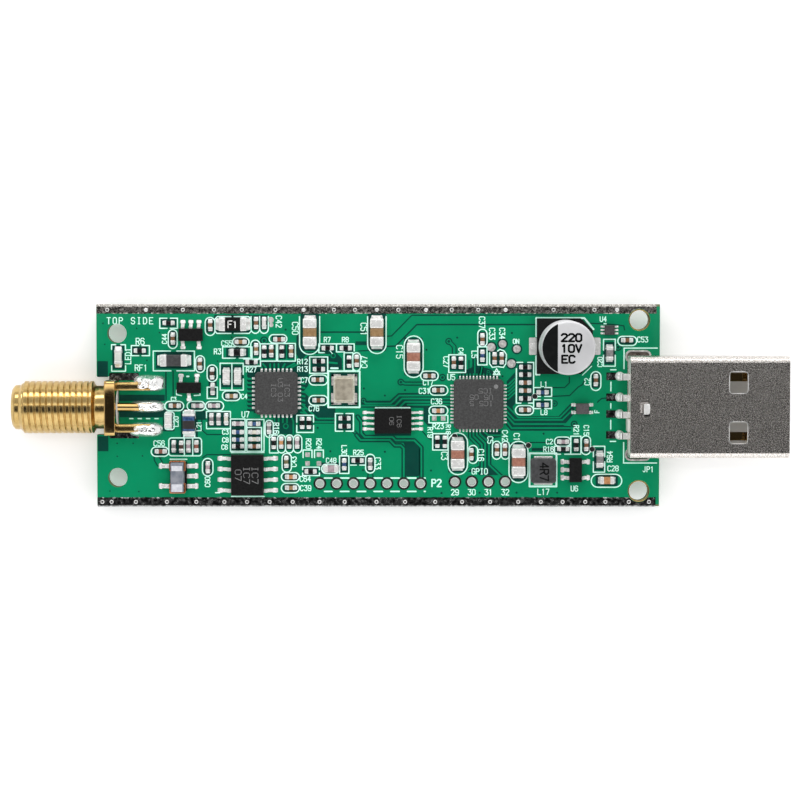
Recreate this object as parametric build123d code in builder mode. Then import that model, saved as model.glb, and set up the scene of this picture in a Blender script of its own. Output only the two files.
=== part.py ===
from build123d import *
import os

# USB spectrum analyzer board: antenna jack on the left, USB plug on the right.
# Frame: +X towards the USB plug, +Y towards the upper long edge, +Z out of the populated face.
# The origin is the centre of the board's outline, on its underside. All lengths are in millimetres.

os.makedirs("parts", exist_ok=True)

ON_BASE = (Align.CENTER, Align.CENTER, Align.MIN)
QUARTER_TURN = {"h": 0, "v": 90}

# Board
BOARD_LENGTH = 67.0
BOARD_WIDTH = 24.1
BOARD_THICKNESS = 1.6
TOP = BOARD_THICKNESS
MOUNT_HOLE_RADIUS = 1.15
MOUNT_HOLES = [(-31.05, 8.6), (-31.05, -8.6), (31.05, 10.2), (31.05, -10.2)]
RAIL_PLATING = 0.05
RAIL_INNER_EDGE = 10.95
RAIL_HOLE_CLEARANCE = 1.3
RAIL_RIGHT_END = 33.1

# Header holes
HEADER_HOLE_RADIUS = 0.5
HEADER_PITCH = 2.0
HEADER_PAD_RADIUS = 0.8
HEADER_PAD_THICKNESS = 0.04
LONG_HEADER_COUNT = 7
LONG_HEADER_CENTRE = (-0.95, -9.3)
SHORT_HEADER_COUNT = 4
SHORT_HEADER_CENTRE = (12.15, -9.1)

# Antenna jack, its axis along X
JACK_Y = -0.15
JACK_Z = 2.1
JACK_TIP = -43.3
THREAD_START = -42.4
THREAD_END = -33.8
THREAD_RADIUS = 3.13
THREAD_PITCH = 0.7056
THREAD_DEPTH = 0.42
THREAD_CREST = 0.09
PILOT_RADIUS = 2.66
NECK_RADIUS = 2.57
FLANGE_FRONT = -32.25
FLANGE_BACK = -30.95
FLANGE_WIDTH = 6.5
FLANGE_HEIGHT = 6.4
FLANGE_CHAMFER = 0.35
NOTCH_EDGE = -30.85
NOTCH_WIDTH = 6.95
LEG_END = -27.0
LEG_OFFSET = 2.5
LEG_SIZE = 1.0
LEG_TIP_CHAMFER = 0.25
MOUTH_RADIUS = 2.32
MOUTH_DEPTH = 1.9
DIELECTRIC_RADIUS = 2.05
CONTACT_RADIUS = 0.635
SOCKET_RADIUS = 0.47
SOCKET_DEPTH = 3.0
SOCKET_SLOT = 0.18
TAIL_RADIUS = 0.5
TAIL_END = -28.2

# USB plug
PLUG_REAR = 29.65
PLUG_TIP = 48.35
PLUG_WIDTH = 12.0
PLUG_HEIGHT = 4.5
PLUG_SHEET = 0.3
PLUG_BEND_RADIUS = 0.75
WINDOW_X = 42.33
WINDOW_Y = 2.95
WINDOW_LENGTH = 2.1
WINDOW_WIDTH = 2.5
WINDOW_CORNER = 0.4
LATCH_X = 31.35
LATCH_LENGTH = 1.15
LATCH_WIDTH = 1.6
LATCH_SLOPE = 14
SHELL_TAB_X = 30.95
SHELL_TAB_LENGTH = 2.1
SHELL_TAB_DEPTH = 2.1
SLOT_Y = 5.85
SLOT_LENGTH = 2.7
SLOT_WIDTH = 1.1
TONGUE_TIP = 48.0
TONGUE_ROOT = 36.6
TONGUE_THICKNESS = 1.95
CONTACT_Y = [-3.5, -1.0, 1.0, 3.5]
CONTACT_TIP = {-3.5: 47.1, -1.0: 46.1, 1.0: 46.1, 3.5: 47.1}
CONTACT_WIDTH = 1.0
CONTACT_THICKNESS = 0.2
PIN_WIDTH = 0.75
PIN_X = 28.75
PIN_HOLE_RADIUS = 0.5
PIN_DEPTH = 0.7
SOLDER_DOME_RADIUS = 0.56
SOLDER_DOME_HEIGHT = 0.55

# Two-terminal chips: length, width, height, terminal length
SIZE_0402 = (1.0, 0.5, 0.45, 0.28)
SIZE_0402_RESISTOR = (1.0, 0.5, 0.35, 0.22)
SIZE_0603 = (1.65, 0.85, 0.8, 0.45)
SIZE_1206 = (3.3, 1.6, 1.5, 1.15)
SIZE_FUSE = (3.3, 1.6, 0.9, 0.75)
SIZE_BEAD = (3.2, 1.4, 1.1, 0.75)
SIZE_LED = (1.7, 0.85, 0.6, 0.35)
SIZE_COIL = (2.4, 1.45, 1.2, 0.3)
BODY_STEP = 0.02
CHIP_ROUNDING = 0.05

# Where the chips sit: centre X, centre Y, and h where the long side runs along X or v along Y
CAPACITORS_0402 = [
    (-25.9, -5.45, "h"), (-24.4, 8.0, "v"), (-19.95, 9.6, "v"), (-21.2, 5.0, "v"), (-19.75, 3.85, "v"),
    (-16.35, 7.6, "h"), (-17.45, 1.15, "h"), (-24.2, 0.0, "h"), (-21.5, 0.0, "h"), (-19.55, 0.0, "h"),
    (-19.85, -1.6, "v"), (-19.0, -1.6, "v"), (-18.1, -1.6, "v"), (-24.35, -4.85, "v"), (-23.45, -4.9, "v"),
    (-22.6, -4.85, "v"), (-21.65, -4.85, "v"), (-20.3, -7.35, "v"), (-16.7, -2.15, "h"), (-14.75, -3.15, "h"),
    (-14.75, -4.0, "h"), (-14.75, -4.85, "h"), (-13.0, -2.65, "v"), (-11.55, -4.4, "v"), (-10.6, -4.4, "v"),
    (-9.65, -4.4, "v"), (-10.95, -6.7, "v"), (-10.4, -8.5, "h"), (-10.4, -9.8, "h"), (-14.5, 9.85, "v"),
    (-13.55, 9.85, "v"), (-11.75, 7.9, "h"), (-14.5, 6.75, "v"), (-12.7, 6.5, "v"), (-10.35, 6.5, "v"),
    (-7.2, 3.1, "h"), (-7.1, 0.65, "h"), (-2.55, 5.35, "v"), (-0.95, -6.95, "v"), (6.1, 3.55, "h"),
    (7.15, 1.85, "h"), (9.0, 5.15, "v"), (7.15, -0.6, "h"), (11.1, -5.8, "v"), (12.4, 7.9, "v"),
    (13.85, 5.65, "v"), (14.7, 5.65, "v"), (17.5, 2.75, "h"), (17.5, 1.8, "h"), (17.5, -0.5, "h"),
    (14.15, -5.25, "v"), (15.1, -5.25, "v"), (22.05, -4.3, "h"), (24.8, -4.7, "v"), (25.9, 3.05, "v"),
    (29.6, 7.8, "h"), (-19.7, 2.0, "v"),
]
RESISTORS_0402 = [
    (-24.9, 9.85, "h"), (-28.35, 6.55, "h"), (-15.05, 5.2, "h"), (-13.55, 6.45, "v"), (-11.45, 6.45, "v"),
    (-7.05, 5.3, "h"), (-7.05, 4.35, "h"), (-16.7, -4.85, "h"), (-12.45, -4.45, "v"), (-9.05, -2.05, "v"),
    (-8.25, -2.05, "v"), (-8.05, -7.85, "h"), (-6.0, 6.85, "h"), (-3.85, 6.85, "h"), (-3.45, 5.25, "v"),
    (-4.0, -1.5, "h"), (-4.0, -2.45, "h"), (-2.45, -6.55, "h"), (9.85, 5.1, "v"), (7.05, -4.3, "v"),
    (7.95, -4.3, "v"), (17.5, 4.6, "h"), (17.5, 3.7, "h"), (17.5, 0.85, "h"), (22.05, -5.15, "h"),
    (23.6, -4.7, "v"),
]
INDUCTORS_0402 = [
    (-16.7, -3.15, "h"), (-16.7, -4.05, "h"), (-14.75, -2.15, "h"), (-4.05, -7.0, "v"), (12.4, 5.95, "v"),
    (19.57, 1.6, "h"), (19.57, 0.1, "h"),
]
CHIPS_0603 = [
    (-16.75, 6.35, "h"), (-5.6, -7.5, "h"), (27.5, 6.25, "v"), (26.4, -6.4, "v"), (27.25, -8.9, "h"),
]
WHITE_CHIPS_0603 = [(-18.05, 3.5, "v"), (-16.7, 3.5, "v"), (-24.95, -1.75, "v")]
CAPACITORS_1206 = [
    (-8.1, 8.75, "v"), (-0.15, 8.75, "v"), (4.2, 5.85, "v"), (9.45, -5.75, "v"), (16.7, -6.65, "v"),
]
FUSE_PLACE = [(-17.25, 9.7, "h")]
BEAD_PLACE = [(-24.25, 5.4, "h")]
LED_PLACE = [(-30.9, 5.8, "v")]
COIL_PLACE = [(-22.5, -2.1, "v")]

# Leadless packages: centre X, centre Y, side, height, leads per side, pitch
DEMODULATOR = (11.95, 0.2, 5.9, 0.85, 12, 0.4)
TUNER = (-12.1, 1.5, 5.05, 0.85, 8, 0.5)
LEADLESS_CORNER = 0.3
LEADLESS_LEAD_LENGTH = 0.25
LEADLESS_LEAD_HEIGHT = 0.2

# Leaded packages: body X size, body Y size, body height above the board
MIXER_CENTRE = (-15.55, -8.2)
MIXER_BODY = (3.9, 4.9, 1.55)
EEPROM_CENTRE = (1.75, -1.8)
EEPROM_BODY = (4.4, 3.0, 1.0)
REGULATOR_CENTRE = (-22.25, 8.45)
CLAMP_CENTRE = (-22.5, 2.15)
BUCK_CENTRE = (23.5, -7.65)
SOT_BODY = (2.9, 1.5, 1.1)
SWITCH_CENTRE = (27.5, 9.0)
SWITCH_BODY = (1.2, 1.15, 0.5)
BODY_STANDOFF = 0.1
BODY_TAPER = 8

# Oscillator, choke, inductor, transformer
OSCILLATOR_CENTRE = (-4.05, 1.95)
OSCILLATOR_BASE = (2.5, 3.2, 0.5)
OSCILLATOR_LID = (2.1, 2.75, 0.4)
CHOKE_CENTRE = (24.3, -0.35)
CHOKE_BODY = (1.5, 1.25, 0.8)
CHOKE_TERMINAL = (0.3, 0.35, 0.5)
INDUCTOR_CENTRE = (19.65, -7.7)
INDUCTOR_BODY = (3.0, 2.9, 1.4)
INDUCTOR_TERMINAL = (2.2, 0.25, 0.5)
TRANSFORMER_CENTRE = (-23.8, -8.4)
TRANSFORMER_BASE = (2.0, 3.5, 0.5)
TRANSFORMER_CORE = (1.5, 3.5, 1.9)
TRANSFORMER_CORE_HOLE = 0.4
WIRE_RADIUS = 0.09

# Electrolytic capacitor
CAN_CENTRE = (22.15, 7.1)
CAN_RADIUS = 3.15
CAN_TOP_ROUNDING = 0.35
CAN_GROOVE_RADIUS = 0.25
CAN_BASE = 6.6
CAN_BASE_HEIGHT = 1.2
CAN_BASE_CHAMFER = 1.4
CAN_HEIGHT = 7.7
CAN_TERMINAL_WIDTH = 0.7
CAN_TERMINAL_THICKNESS = 0.2
CAN_TERMINAL_REACH = 4.0


def spots(places):
    """Locations on the board's upper face for (x, y, way) entries."""
    return [Location((x, y, TOP), (0, 0, QUARTER_TURN[way])) for x, y, way in places]


def rounded_block(x_size, y_size, z_size, radius):
    """A block standing on its base, with every edge but the base's rounded."""
    with BuildPart() as block:
        Box(x_size, y_size, z_size, align=ON_BASE)
        fillet(block.edges() - block.faces().sort_by(Axis.Z)[0].edges(), radius)
    return block.part


def small_chip(places, size):
    """Bodies and end terminals of identical small two-terminal chips, all plain blocks."""
    length, width, height, terminal = size
    cap_offset = (length - terminal) / 2
    with BuildPart() as bodies:
        with Locations(*spots(places)):
            Box(length - 2 * terminal, width - 2 * BODY_STEP, height - BODY_STEP, align=ON_BASE)
    with BuildPart() as terminals:
        with Locations(*spots(places)):
            with Locations((-cap_offset, 0, 0), (cap_offset, 0, 0)):
                Box(terminal, width, height, align=ON_BASE)
    return bodies, terminals


def large_chip(places, size, rounding=CHIP_ROUNDING):
    """Bodies and rounded end terminals of identical large two-terminal chips."""
    length, width, height, terminal = size
    cap = rounded_block(terminal, width, height, rounding)
    cap_offset = (length - terminal) / 2
    with BuildPart() as bodies:
        with Locations(*spots(places)):
            Box(length - 2 * terminal, width - 2 * BODY_STEP, height - BODY_STEP, align=ON_BASE)
    with BuildPart() as terminals:
        with Locations(*spots(places)):
            with Locations((-cap_offset, 0, 0), (cap_offset, 0, 0)):
                add(cap)
    return bodies, terminals


def moulded_body(centre, size, standoff=BODY_STANDOFF, taper=BODY_TAPER):
    """A moulded package body, widest at its parting line, held just off the board."""
    x_size, y_size, height = size
    half = (height - standoff) / 2
    parting = TOP + standoff + half
    with BuildPart() as body:
        with BuildSketch(Plane.XY.offset(parting)):
            with Locations(centre):
                Rectangle(x_size, y_size)
        extrude(amount=half, taper=taper)
        extrude(body.faces().sort_by(Axis.Z)[0], amount=half, taper=taper)
    return body


def gull_lead(reach, width, height, thickness):
    """One bent lead that leaves the body along +X at the given height and ends flat on the board."""
    knee = 0.3 * reach
    toe = 0.55 * reach
    with BuildPart() as lead:
        with BuildSketch(Plane.XZ):
            with BuildLine():
                Polyline(
                    (0, height + thickness / 2),
                    (knee, height + thickness / 2),
                    (toe, thickness),
                    (reach, thickness),
                    (reach, 0),
                    (toe - thickness / 2, 0),
                    (knee - thickness / 2, height - thickness / 2),
                    (0, height - thickness / 2),
                    close=True,
                )
            make_face()
        extrude(amount=width / 2, both=True)
    return lead.part


def gull_leads(centre, rows, half_body, lead):
    """Leads on a package: rows holds (direction in degrees, offsets along the side)."""
    cx, cy = centre
    with BuildPart() as leads:
        for direction, offsets in rows:
            with Locations(Location((cx, cy, TOP), (0, 0, direction))):
                with Locations(*[(half_body, offset, 0) for offset in offsets]):
                    add(lead)
    return leads


def leadless_package(package):
    """A square leadless body and the solder-coated lead ends that show around it."""
    cx, cy, side, height, per_side, pitch = package
    with BuildPart() as body:
        with Locations((cx, cy, TOP)):
            Box(side, side, height, align=ON_BASE)
        chamfer(body.edges().filter_by(Axis.Z), LEADLESS_CORNER)
        chamfer(body.faces().sort_by(Axis.Z)[-1].edges(), 0.12)
    with BuildPart() as leads:
        for direction in (0, 90, 180, 270):
            with Locations(Location((cx, cy, TOP), (0, 0, direction))):
                with Locations((side / 2 + LEADLESS_LEAD_LENGTH / 2, 0, 0)):
                    with GridLocations(1, pitch, 1, per_side):
                        Box(LEADLESS_LEAD_LENGTH, pitch / 2, LEADLESS_LEAD_HEIGHT, align=ON_BASE)
    return body, leads


# ---------------------------------------------------------------- board

with BuildPart() as circuit_board:
    with BuildSketch():
        Rectangle(BOARD_LENGTH, BOARD_WIDTH)
        with Locations((-BOARD_LENGTH / 2, 0)):
            Rectangle(
                BOARD_LENGTH / 2 + NOTCH_EDGE,
                NOTCH_WIDTH,
                align=(Align.MIN, Align.CENTER),
                mode=Mode.SUBTRACT,
            )
        with Locations(*MOUNT_HOLES):
            Circle(MOUNT_HOLE_RADIUS, mode=Mode.SUBTRACT)
        with Locations(LONG_HEADER_CENTRE):
            with GridLocations(HEADER_PITCH, 1, LONG_HEADER_COUNT, 1):
                Circle(HEADER_HOLE_RADIUS, mode=Mode.SUBTRACT)
        with Locations(SHORT_HEADER_CENTRE):
            with GridLocations(HEADER_PITCH, 1, SHORT_HEADER_COUNT, 1):
                Circle(HEADER_HOLE_RADIUS, mode=Mode.SUBTRACT)
        with Locations(*[(PIN_X, y) for y in CONTACT_Y]):
            Circle(PIN_HOLE_RADIUS, mode=Mode.SUBTRACT)
        with Locations((SHELL_TAB_X, SLOT_Y), (SHELL_TAB_X, -SLOT_Y)):
            SlotOverall(SLOT_LENGTH, SLOT_WIDTH, mode=Mode.SUBTRACT)
    extrude(amount=BOARD_THICKNESS)


def ground_rail(side):
    """Plating that wraps one long edge; side is 1 for the upper edge and -1 for the lower."""
    inner = side * RAIL_INNER_EDGE
    edge = side * BOARD_WIDTH / 2
    outer = side * (BOARD_WIDTH / 2 + RAIL_PLATING)
    with BuildPart() as rail:
        with BuildSketch(Plane.YZ.offset(-BOARD_LENGTH / 2)):
            with BuildLine():
                Polyline(
                    (inner, TOP),
                    (inner, TOP + RAIL_PLATING),
                    (outer, TOP + RAIL_PLATING),
                    (outer, -RAIL_PLATING),
                    (inner, -RAIL_PLATING),
                    (inner, 0),
                    (edge, 0),
                    (edge, TOP),
                    close=True,
                )
            make_face()
        extrude(amount=BOARD_LENGTH / 2 + RAIL_RIGHT_END)
        with Locations(*[(x, y, TOP / 2) for x, y in MOUNT_HOLES]):
            Cylinder(RAIL_HOLE_CLEARANCE, 2 * BOARD_THICKNESS, mode=Mode.SUBTRACT)
    return rail


ground_rail_upper = ground_rail(1)
ground_rail_lower = ground_rail(-1)

# The pads of one plated hole, a ring on each face of the board; the hole's wall is the board's own
with BuildPart() as plated_hole:
    with Locations((0, 0, -HEADER_PAD_THICKNESS)):
        Cylinder(HEADER_PAD_RADIUS, HEADER_PAD_THICKNESS, align=ON_BASE)
    with Locations((0, 0, TOP)):
        Cylinder(HEADER_PAD_RADIUS, HEADER_PAD_THICKNESS, align=ON_BASE)
    Cylinder(HEADER_HOLE_RADIUS, 4 * BOARD_THICKNESS, mode=Mode.SUBTRACT)

with BuildPart() as header_pads:
    with Locations(LONG_HEADER_CENTRE):
        with GridLocations(HEADER_PITCH, 1, LONG_HEADER_COUNT, 1):
            add(plated_hole.part)
    with Locations(SHORT_HEADER_CENTRE):
        with GridLocations(HEADER_PITCH, 1, SHORT_HEADER_COUNT, 1):
            add(plated_hole.part)

# ---------------------------------------------------------------- antenna jack

# The outline of the turned part, as (x, radius), from the tip to the back of the flange
root_radius = THREAD_RADIUS - THREAD_DEPTH
flank = THREAD_DEPTH * 0.577
ridge_count = int((THREAD_END - THREAD_START) / THREAD_PITCH)
jack_outline = [
    (JACK_TIP, MOUTH_RADIUS),
    (JACK_TIP, PILOT_RADIUS - 0.3),
    (JACK_TIP + 0.3, PILOT_RADIUS),
    (THREAD_START, PILOT_RADIUS),
]
for ridge in range(ridge_count):
    ridge_middle = THREAD_START + (ridge + 0.5) * THREAD_PITCH
    crest_radius = THREAD_RADIUS
    if ridge == 0:
        crest_radius = THREAD_RADIUS - 0.3
    jack_outline += [
        (ridge_middle - THREAD_CREST / 2 - flank, root_radius),
        (ridge_middle - THREAD_CREST / 2, crest_radius),
        (ridge_middle + THREAD_CREST / 2, crest_radius),
        (ridge_middle + THREAD_CREST / 2 + flank, root_radius),
    ]
jack_outline += [
    (THREAD_END, NECK_RADIUS),
    (FLANGE_FRONT, NECK_RADIUS),
    (FLANGE_FRONT, DIELECTRIC_RADIUS),
    (JACK_TIP + MOUTH_DEPTH, DIELECTRIC_RADIUS),
    (JACK_TIP + MOUTH_DEPTH, MOUTH_RADIUS),
]
jack_axis = Axis((0, JACK_Y, JACK_Z), (1, 0, 0))
jack_plane = Plane((0, JACK_Y, JACK_Z), x_dir=(1, 0, 0), z_dir=(0, -1, 0))

flange_thickness = FLANGE_BACK - FLANGE_FRONT
flange_middle = (FLANGE_FRONT + FLANGE_BACK) / 2
with BuildPart() as flange:
    with Locations((flange_middle, JACK_Y, JACK_Z)):
        Box(flange_thickness, FLANGE_WIDTH, FLANGE_HEIGHT)
    chamfer(flange.edges().filter_by(Axis.X), FLANGE_CHAMFER)
    with Locations(Location((flange_middle, JACK_Y, JACK_Z), (0, 90, 0))):
        Cylinder(DIELECTRIC_RADIUS, 2 * flange_thickness, mode=Mode.SUBTRACT)

leg_length = LEG_END - FLANGE_BACK
leg_middle = (FLANGE_BACK + LEG_END) / 2
with BuildPart() as leg:
    Box(leg_length, LEG_SIZE, LEG_SIZE, align=ON_BASE)
    chamfer(leg.faces().sort_by(Axis.X)[-1].edges(), LEG_TIP_CHAMFER)
leg_places = [
    (leg_middle, JACK_Y + side * LEG_OFFSET, bottom) for side in (-1, 1) for bottom in (TOP, -LEG_SIZE)
]

with BuildPart() as sma_body:
    with BuildSketch(jack_plane):
        with BuildLine():
            Polyline(*jack_outline, close=True)
        make_face()
    revolve(axis=jack_axis)
    add(flange.part)
    with Locations(*leg_places):
        add(leg.part)

with BuildPart() as sma_dielectric:
    dielectric_front = JACK_TIP + MOUTH_DEPTH
    dielectric_middle = (dielectric_front + FLANGE_BACK) / 2
    with Locations(Location((dielectric_middle, JACK_Y, JACK_Z), (0, 90, 0))):
        Cylinder(DIELECTRIC_RADIUS, FLANGE_BACK - dielectric_front)
        Cylinder(CONTACT_RADIUS, FLANGE_BACK - dielectric_front, mode=Mode.SUBTRACT)

with BuildPart() as sma_center_contact:
    socket_mouth = JACK_TIP + MOUTH_DEPTH
    with BuildSketch(jack_plane):
        with BuildLine():
            Polyline(
                (socket_mouth, SOCKET_RADIUS),
                (socket_mouth, CONTACT_RADIUS),
                (FLANGE_BACK, CONTACT_RADIUS),
                (FLANGE_BACK, TAIL_RADIUS),
                (TAIL_END - 0.15, TAIL_RADIUS),
                (TAIL_END, TAIL_RADIUS - 0.15),
                (TAIL_END, 0),
                (socket_mouth + SOCKET_DEPTH, 0),
                (socket_mouth + SOCKET_DEPTH, SOCKET_RADIUS),
                close=True,
            )
        make_face()
    revolve(axis=jack_axis)
    with Locations((socket_mouth + SOCKET_DEPTH / 2 - 0.2, JACK_Y, JACK_Z)):
        Box(SOCKET_DEPTH - 0.4, 2.2 * CONTACT_RADIUS, SOCKET_SLOT, mode=Mode.SUBTRACT)
        Box(SOCKET_DEPTH - 0.4, SOCKET_SLOT, 2.2 * CONTACT_RADIUS, mode=Mode.SUBTRACT)


def solder_mound(x, y, length, width, height, peak_shift, face_up=True):
    """A solidified solder mound on the board: elliptical at the pad, narrowing to a blunt peak."""
    sign = 1 if face_up else -1
    start = TOP if face_up else 0
    with BuildPart() as mound:
        for level, share, shift in ((0, 1.0, 0.0), (0.45, 0.86, 0.3), (0.8, 0.6, 0.7), (1.0, 0.25, 1.0)):
            with BuildSketch(Plane.XY.offset(start + sign * level * height)):
                with Locations((x + shift * peak_shift, y)):
                    Ellipse(share * length / 2, share * width / 2)
        loft()
    return mound.part


with BuildPart() as sma_ground_solder:
    add(solder_mound(-27.3, JACK_Y + LEG_OFFSET + 0.35, 4.0, 2.0, 1.5, -0.3))
    add(solder_mound(-27.75, JACK_Y - LEG_OFFSET - 0.2, 4.3, 1.75, 1.45, 0.0))
    add(solder_mound(-27.75, JACK_Y + LEG_OFFSET, 4.3, 1.9, 1.08, 0.0, face_up=False))
    add(solder_mound(-27.75, JACK_Y - LEG_OFFSET, 4.3, 1.9, 1.08, 0.0, face_up=False))
    with Locations(*leg_places):
        add(leg.part, mode=Mode.SUBTRACT)

with BuildPart() as sma_signal_solder:
    add(solder_mound(-27.5, JACK_Y + 0.05, 4.2, 1.45, 1.25, -0.5))
    with Locations(Location(((FLANGE_BACK + TAIL_END) / 2, JACK_Y, JACK_Z), (0, 90, 0))):
        Cylinder(TAIL_RADIUS, TAIL_END - FLANGE_BACK, mode=Mode.SUBTRACT)

# ---------------------------------------------------------------- USB plug

plug_middle_z = TOP + PLUG_HEIGHT / 2
plug_length = PLUG_TIP - PLUG_REAR
inner_width = PLUG_WIDTH - 2 * PLUG_SHEET
inner_height = PLUG_HEIGHT - 2 * PLUG_SHEET
inner_bottom = TOP + PLUG_SHEET
tongue_top = inner_bottom + TONGUE_THICKNESS

with BuildPart() as usb_shell:
    with BuildSketch(Plane.YZ.offset(PLUG_REAR)):
        with Locations((0, plug_middle_z)):
            RectangleRounded(PLUG_WIDTH, PLUG_HEIGHT, PLUG_BEND_RADIUS)
            RectangleRounded(
                inner_width,
                inner_height,
                PLUG_BEND_RADIUS - PLUG_SHEET,
                mode=Mode.SUBTRACT,
            )
    extrude(amount=plug_length)
    with BuildSketch(Plane.XY.offset(TOP - 1)):
        with Locations((WINDOW_X, WINDOW_Y), (WINDOW_X, -WINDOW_Y)):
            RectangleRounded(WINDOW_LENGTH, WINDOW_WIDTH, WINDOW_CORNER)
    extrude(amount=PLUG_HEIGHT + 2, mode=Mode.SUBTRACT)
    with BuildSketch(Plane.XY.offset(TOP + PLUG_HEIGHT - 1)):
        with Locations((LATCH_X, 0)):
            RectangleRounded(LATCH_LENGTH, LATCH_WIDTH, 0.3)
    extrude(amount=2, mode=Mode.SUBTRACT)
    latch_hinge = (LATCH_X - LATCH_LENGTH / 2 - 0.1, 0, TOP + PLUG_HEIGHT - PLUG_SHEET)
    with Locations(Location(latch_hinge, (0, LATCH_SLOPE, 0))):
        Box(LATCH_LENGTH - 0.05, LATCH_WIDTH - 0.3, 0.2, align=(Align.MIN, Align.CENTER, Align.MIN))
    for side in (-1, 1):
        with Locations((SHELL_TAB_X, side * (PLUG_WIDTH - PLUG_SHEET) / 2, TOP + PLUG_HEIGHT / 2)):
            Box(
                SHELL_TAB_LENGTH,
                PLUG_SHEET,
                PLUG_HEIGHT / 2 + SHELL_TAB_DEPTH,
                align=(Align.CENTER, Align.CENTER, Align.MAX),
            )

with BuildPart() as usb_insulator:
    with BuildSketch(Plane.YZ.offset(PLUG_REAR + 0.1)):
        with Locations((0, inner_bottom + inner_height / 2)):
            RectangleRounded(inner_width - 0.02, inner_height - 0.02, PLUG_BEND_RADIUS - PLUG_SHEET)
    extrude(amount=TONGUE_ROOT - PLUG_REAR - 0.1)
    with Locations((TONGUE_ROOT, 0, inner_bottom)):
        Box(
            TONGUE_TIP - TONGUE_ROOT,
            inner_width - 0.5,
            TONGUE_THICKNESS,
            align=(Align.MIN, Align.CENTER, Align.MIN),
        )
    with Locations((LATCH_X, 0, TOP + PLUG_HEIGHT)):
        Box(LATCH_LENGTH + 0.6, LATCH_WIDTH + 0.1, 1.6, mode=Mode.SUBTRACT)
    with Locations((PLUG_REAR - 0.05, -2.2, inner_bottom + 0.4)):
        Box(0.3, 1.45, 2.4, align=ON_BASE)
    for y in CONTACT_Y:
        channel_start = PLUG_REAR - 1
        with Locations((channel_start, y, tongue_top)):
            Box(
                CONTACT_TIP[y] - channel_start,
                CONTACT_WIDTH,
                CONTACT_THICKNESS,
                align=(Align.MIN, Align.CENTER, Align.MAX),
                mode=Mode.SUBTRACT,
            )


def usb_contact(y):
    """A contact strip lying in the tongue, with a pin bent down through the board."""
    strip_top = tongue_top
    strip_bottom = tongue_top - CONTACT_THICKNESS
    pin_left = PIN_X - CONTACT_THICKNESS / 2
    pin_right = PIN_X + CONTACT_THICKNESS / 2
    with BuildPart() as contact:
        with Locations((PLUG_REAR, y, strip_bottom)):
            Box(
                CONTACT_TIP[y] - PLUG_REAR,
                CONTACT_WIDTH,
                CONTACT_THICKNESS,
                align=(Align.MIN, Align.CENTER, Align.MIN),
            )
        with BuildSketch(Plane.XZ.offset(-y)):
            with BuildLine():
                Polyline(
                    (PLUG_REAR, strip_top),
                    (PLUG_REAR, strip_bottom),
                    (pin_right + 0.15, strip_bottom),
                    (pin_right, strip_bottom - 0.15),
                    (pin_right, -PIN_DEPTH),
                    (pin_left, -PIN_DEPTH),
                    (pin_left, strip_top - 0.2),
                    (pin_left + 0.2, strip_top),
                    close=True,
                )
            make_face()
        extrude(amount=PIN_WIDTH / 2, both=True)
    return contact


usb_contact_1 = usb_contact(CONTACT_Y[0])
usb_contact_2 = usb_contact(CONTACT_Y[1])
usb_contact_3 = usb_contact(CONTACT_Y[2])
usb_contact_4 = usb_contact(CONTACT_Y[3])

with BuildPart() as usb_solder_joints:
    for y in CONTACT_Y:
        with BuildSketch(Plane.XZ.offset(-y)):
            for base, rise in ((TOP, 1), (0, -1)):
                with BuildLine():
                    Polyline(
                        (PIN_X, base),
                        (PIN_X + SOLDER_DOME_RADIUS, base),
                        (PIN_X + 0.92 * SOLDER_DOME_RADIUS, base + rise * 0.5 * SOLDER_DOME_HEIGHT),
                        (PIN_X + 0.65 * SOLDER_DOME_RADIUS, base + rise * 0.9 * SOLDER_DOME_HEIGHT),
                        (PIN_X + 0.25 * SOLDER_DOME_RADIUS, base + rise * SOLDER_DOME_HEIGHT),
                        (PIN_X, base + rise * SOLDER_DOME_HEIGHT),
                        close=True,
                    )
                make_face()
        revolve(axis=Axis((PIN_X, y, 0), (0, 0, 1)))
    with Locations(*[(PIN_X, y, TOP / 2) for y in CONTACT_Y]):
        Box(CONTACT_THICKNESS, PIN_WIDTH, 4 * BOARD_THICKNESS, mode=Mode.SUBTRACT)

# ---------------------------------------------------------------- integrated circuits

demodulator_body, demodulator_leads = leadless_package(DEMODULATOR)
tuner_body, tuner_leads = leadless_package(TUNER)

mixer_body = moulded_body(MIXER_CENTRE, MIXER_BODY)
mixer_lead = gull_lead(reach=1.15, width=0.42, height=0.75, thickness=0.2)
mixer_offsets = [-1.905, -0.635, 0.635, 1.905]
mixer_rows = ((0, mixer_offsets), (180, mixer_offsets))
mixer_leads = gull_leads(MIXER_CENTRE, mixer_rows, MIXER_BODY[0] / 2, mixer_lead)

eeprom_body = moulded_body(EEPROM_CENTRE, EEPROM_BODY)
eeprom_lead = gull_lead(reach=1.0, width=0.26, height=0.5, thickness=0.13)
eeprom_offsets = [-0.975, -0.325, 0.325, 0.975]
eeprom_rows = ((0, eeprom_offsets), (180, eeprom_offsets))
eeprom_leads = gull_leads(EEPROM_CENTRE, eeprom_rows, EEPROM_BODY[0] / 2, eeprom_lead)

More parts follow.
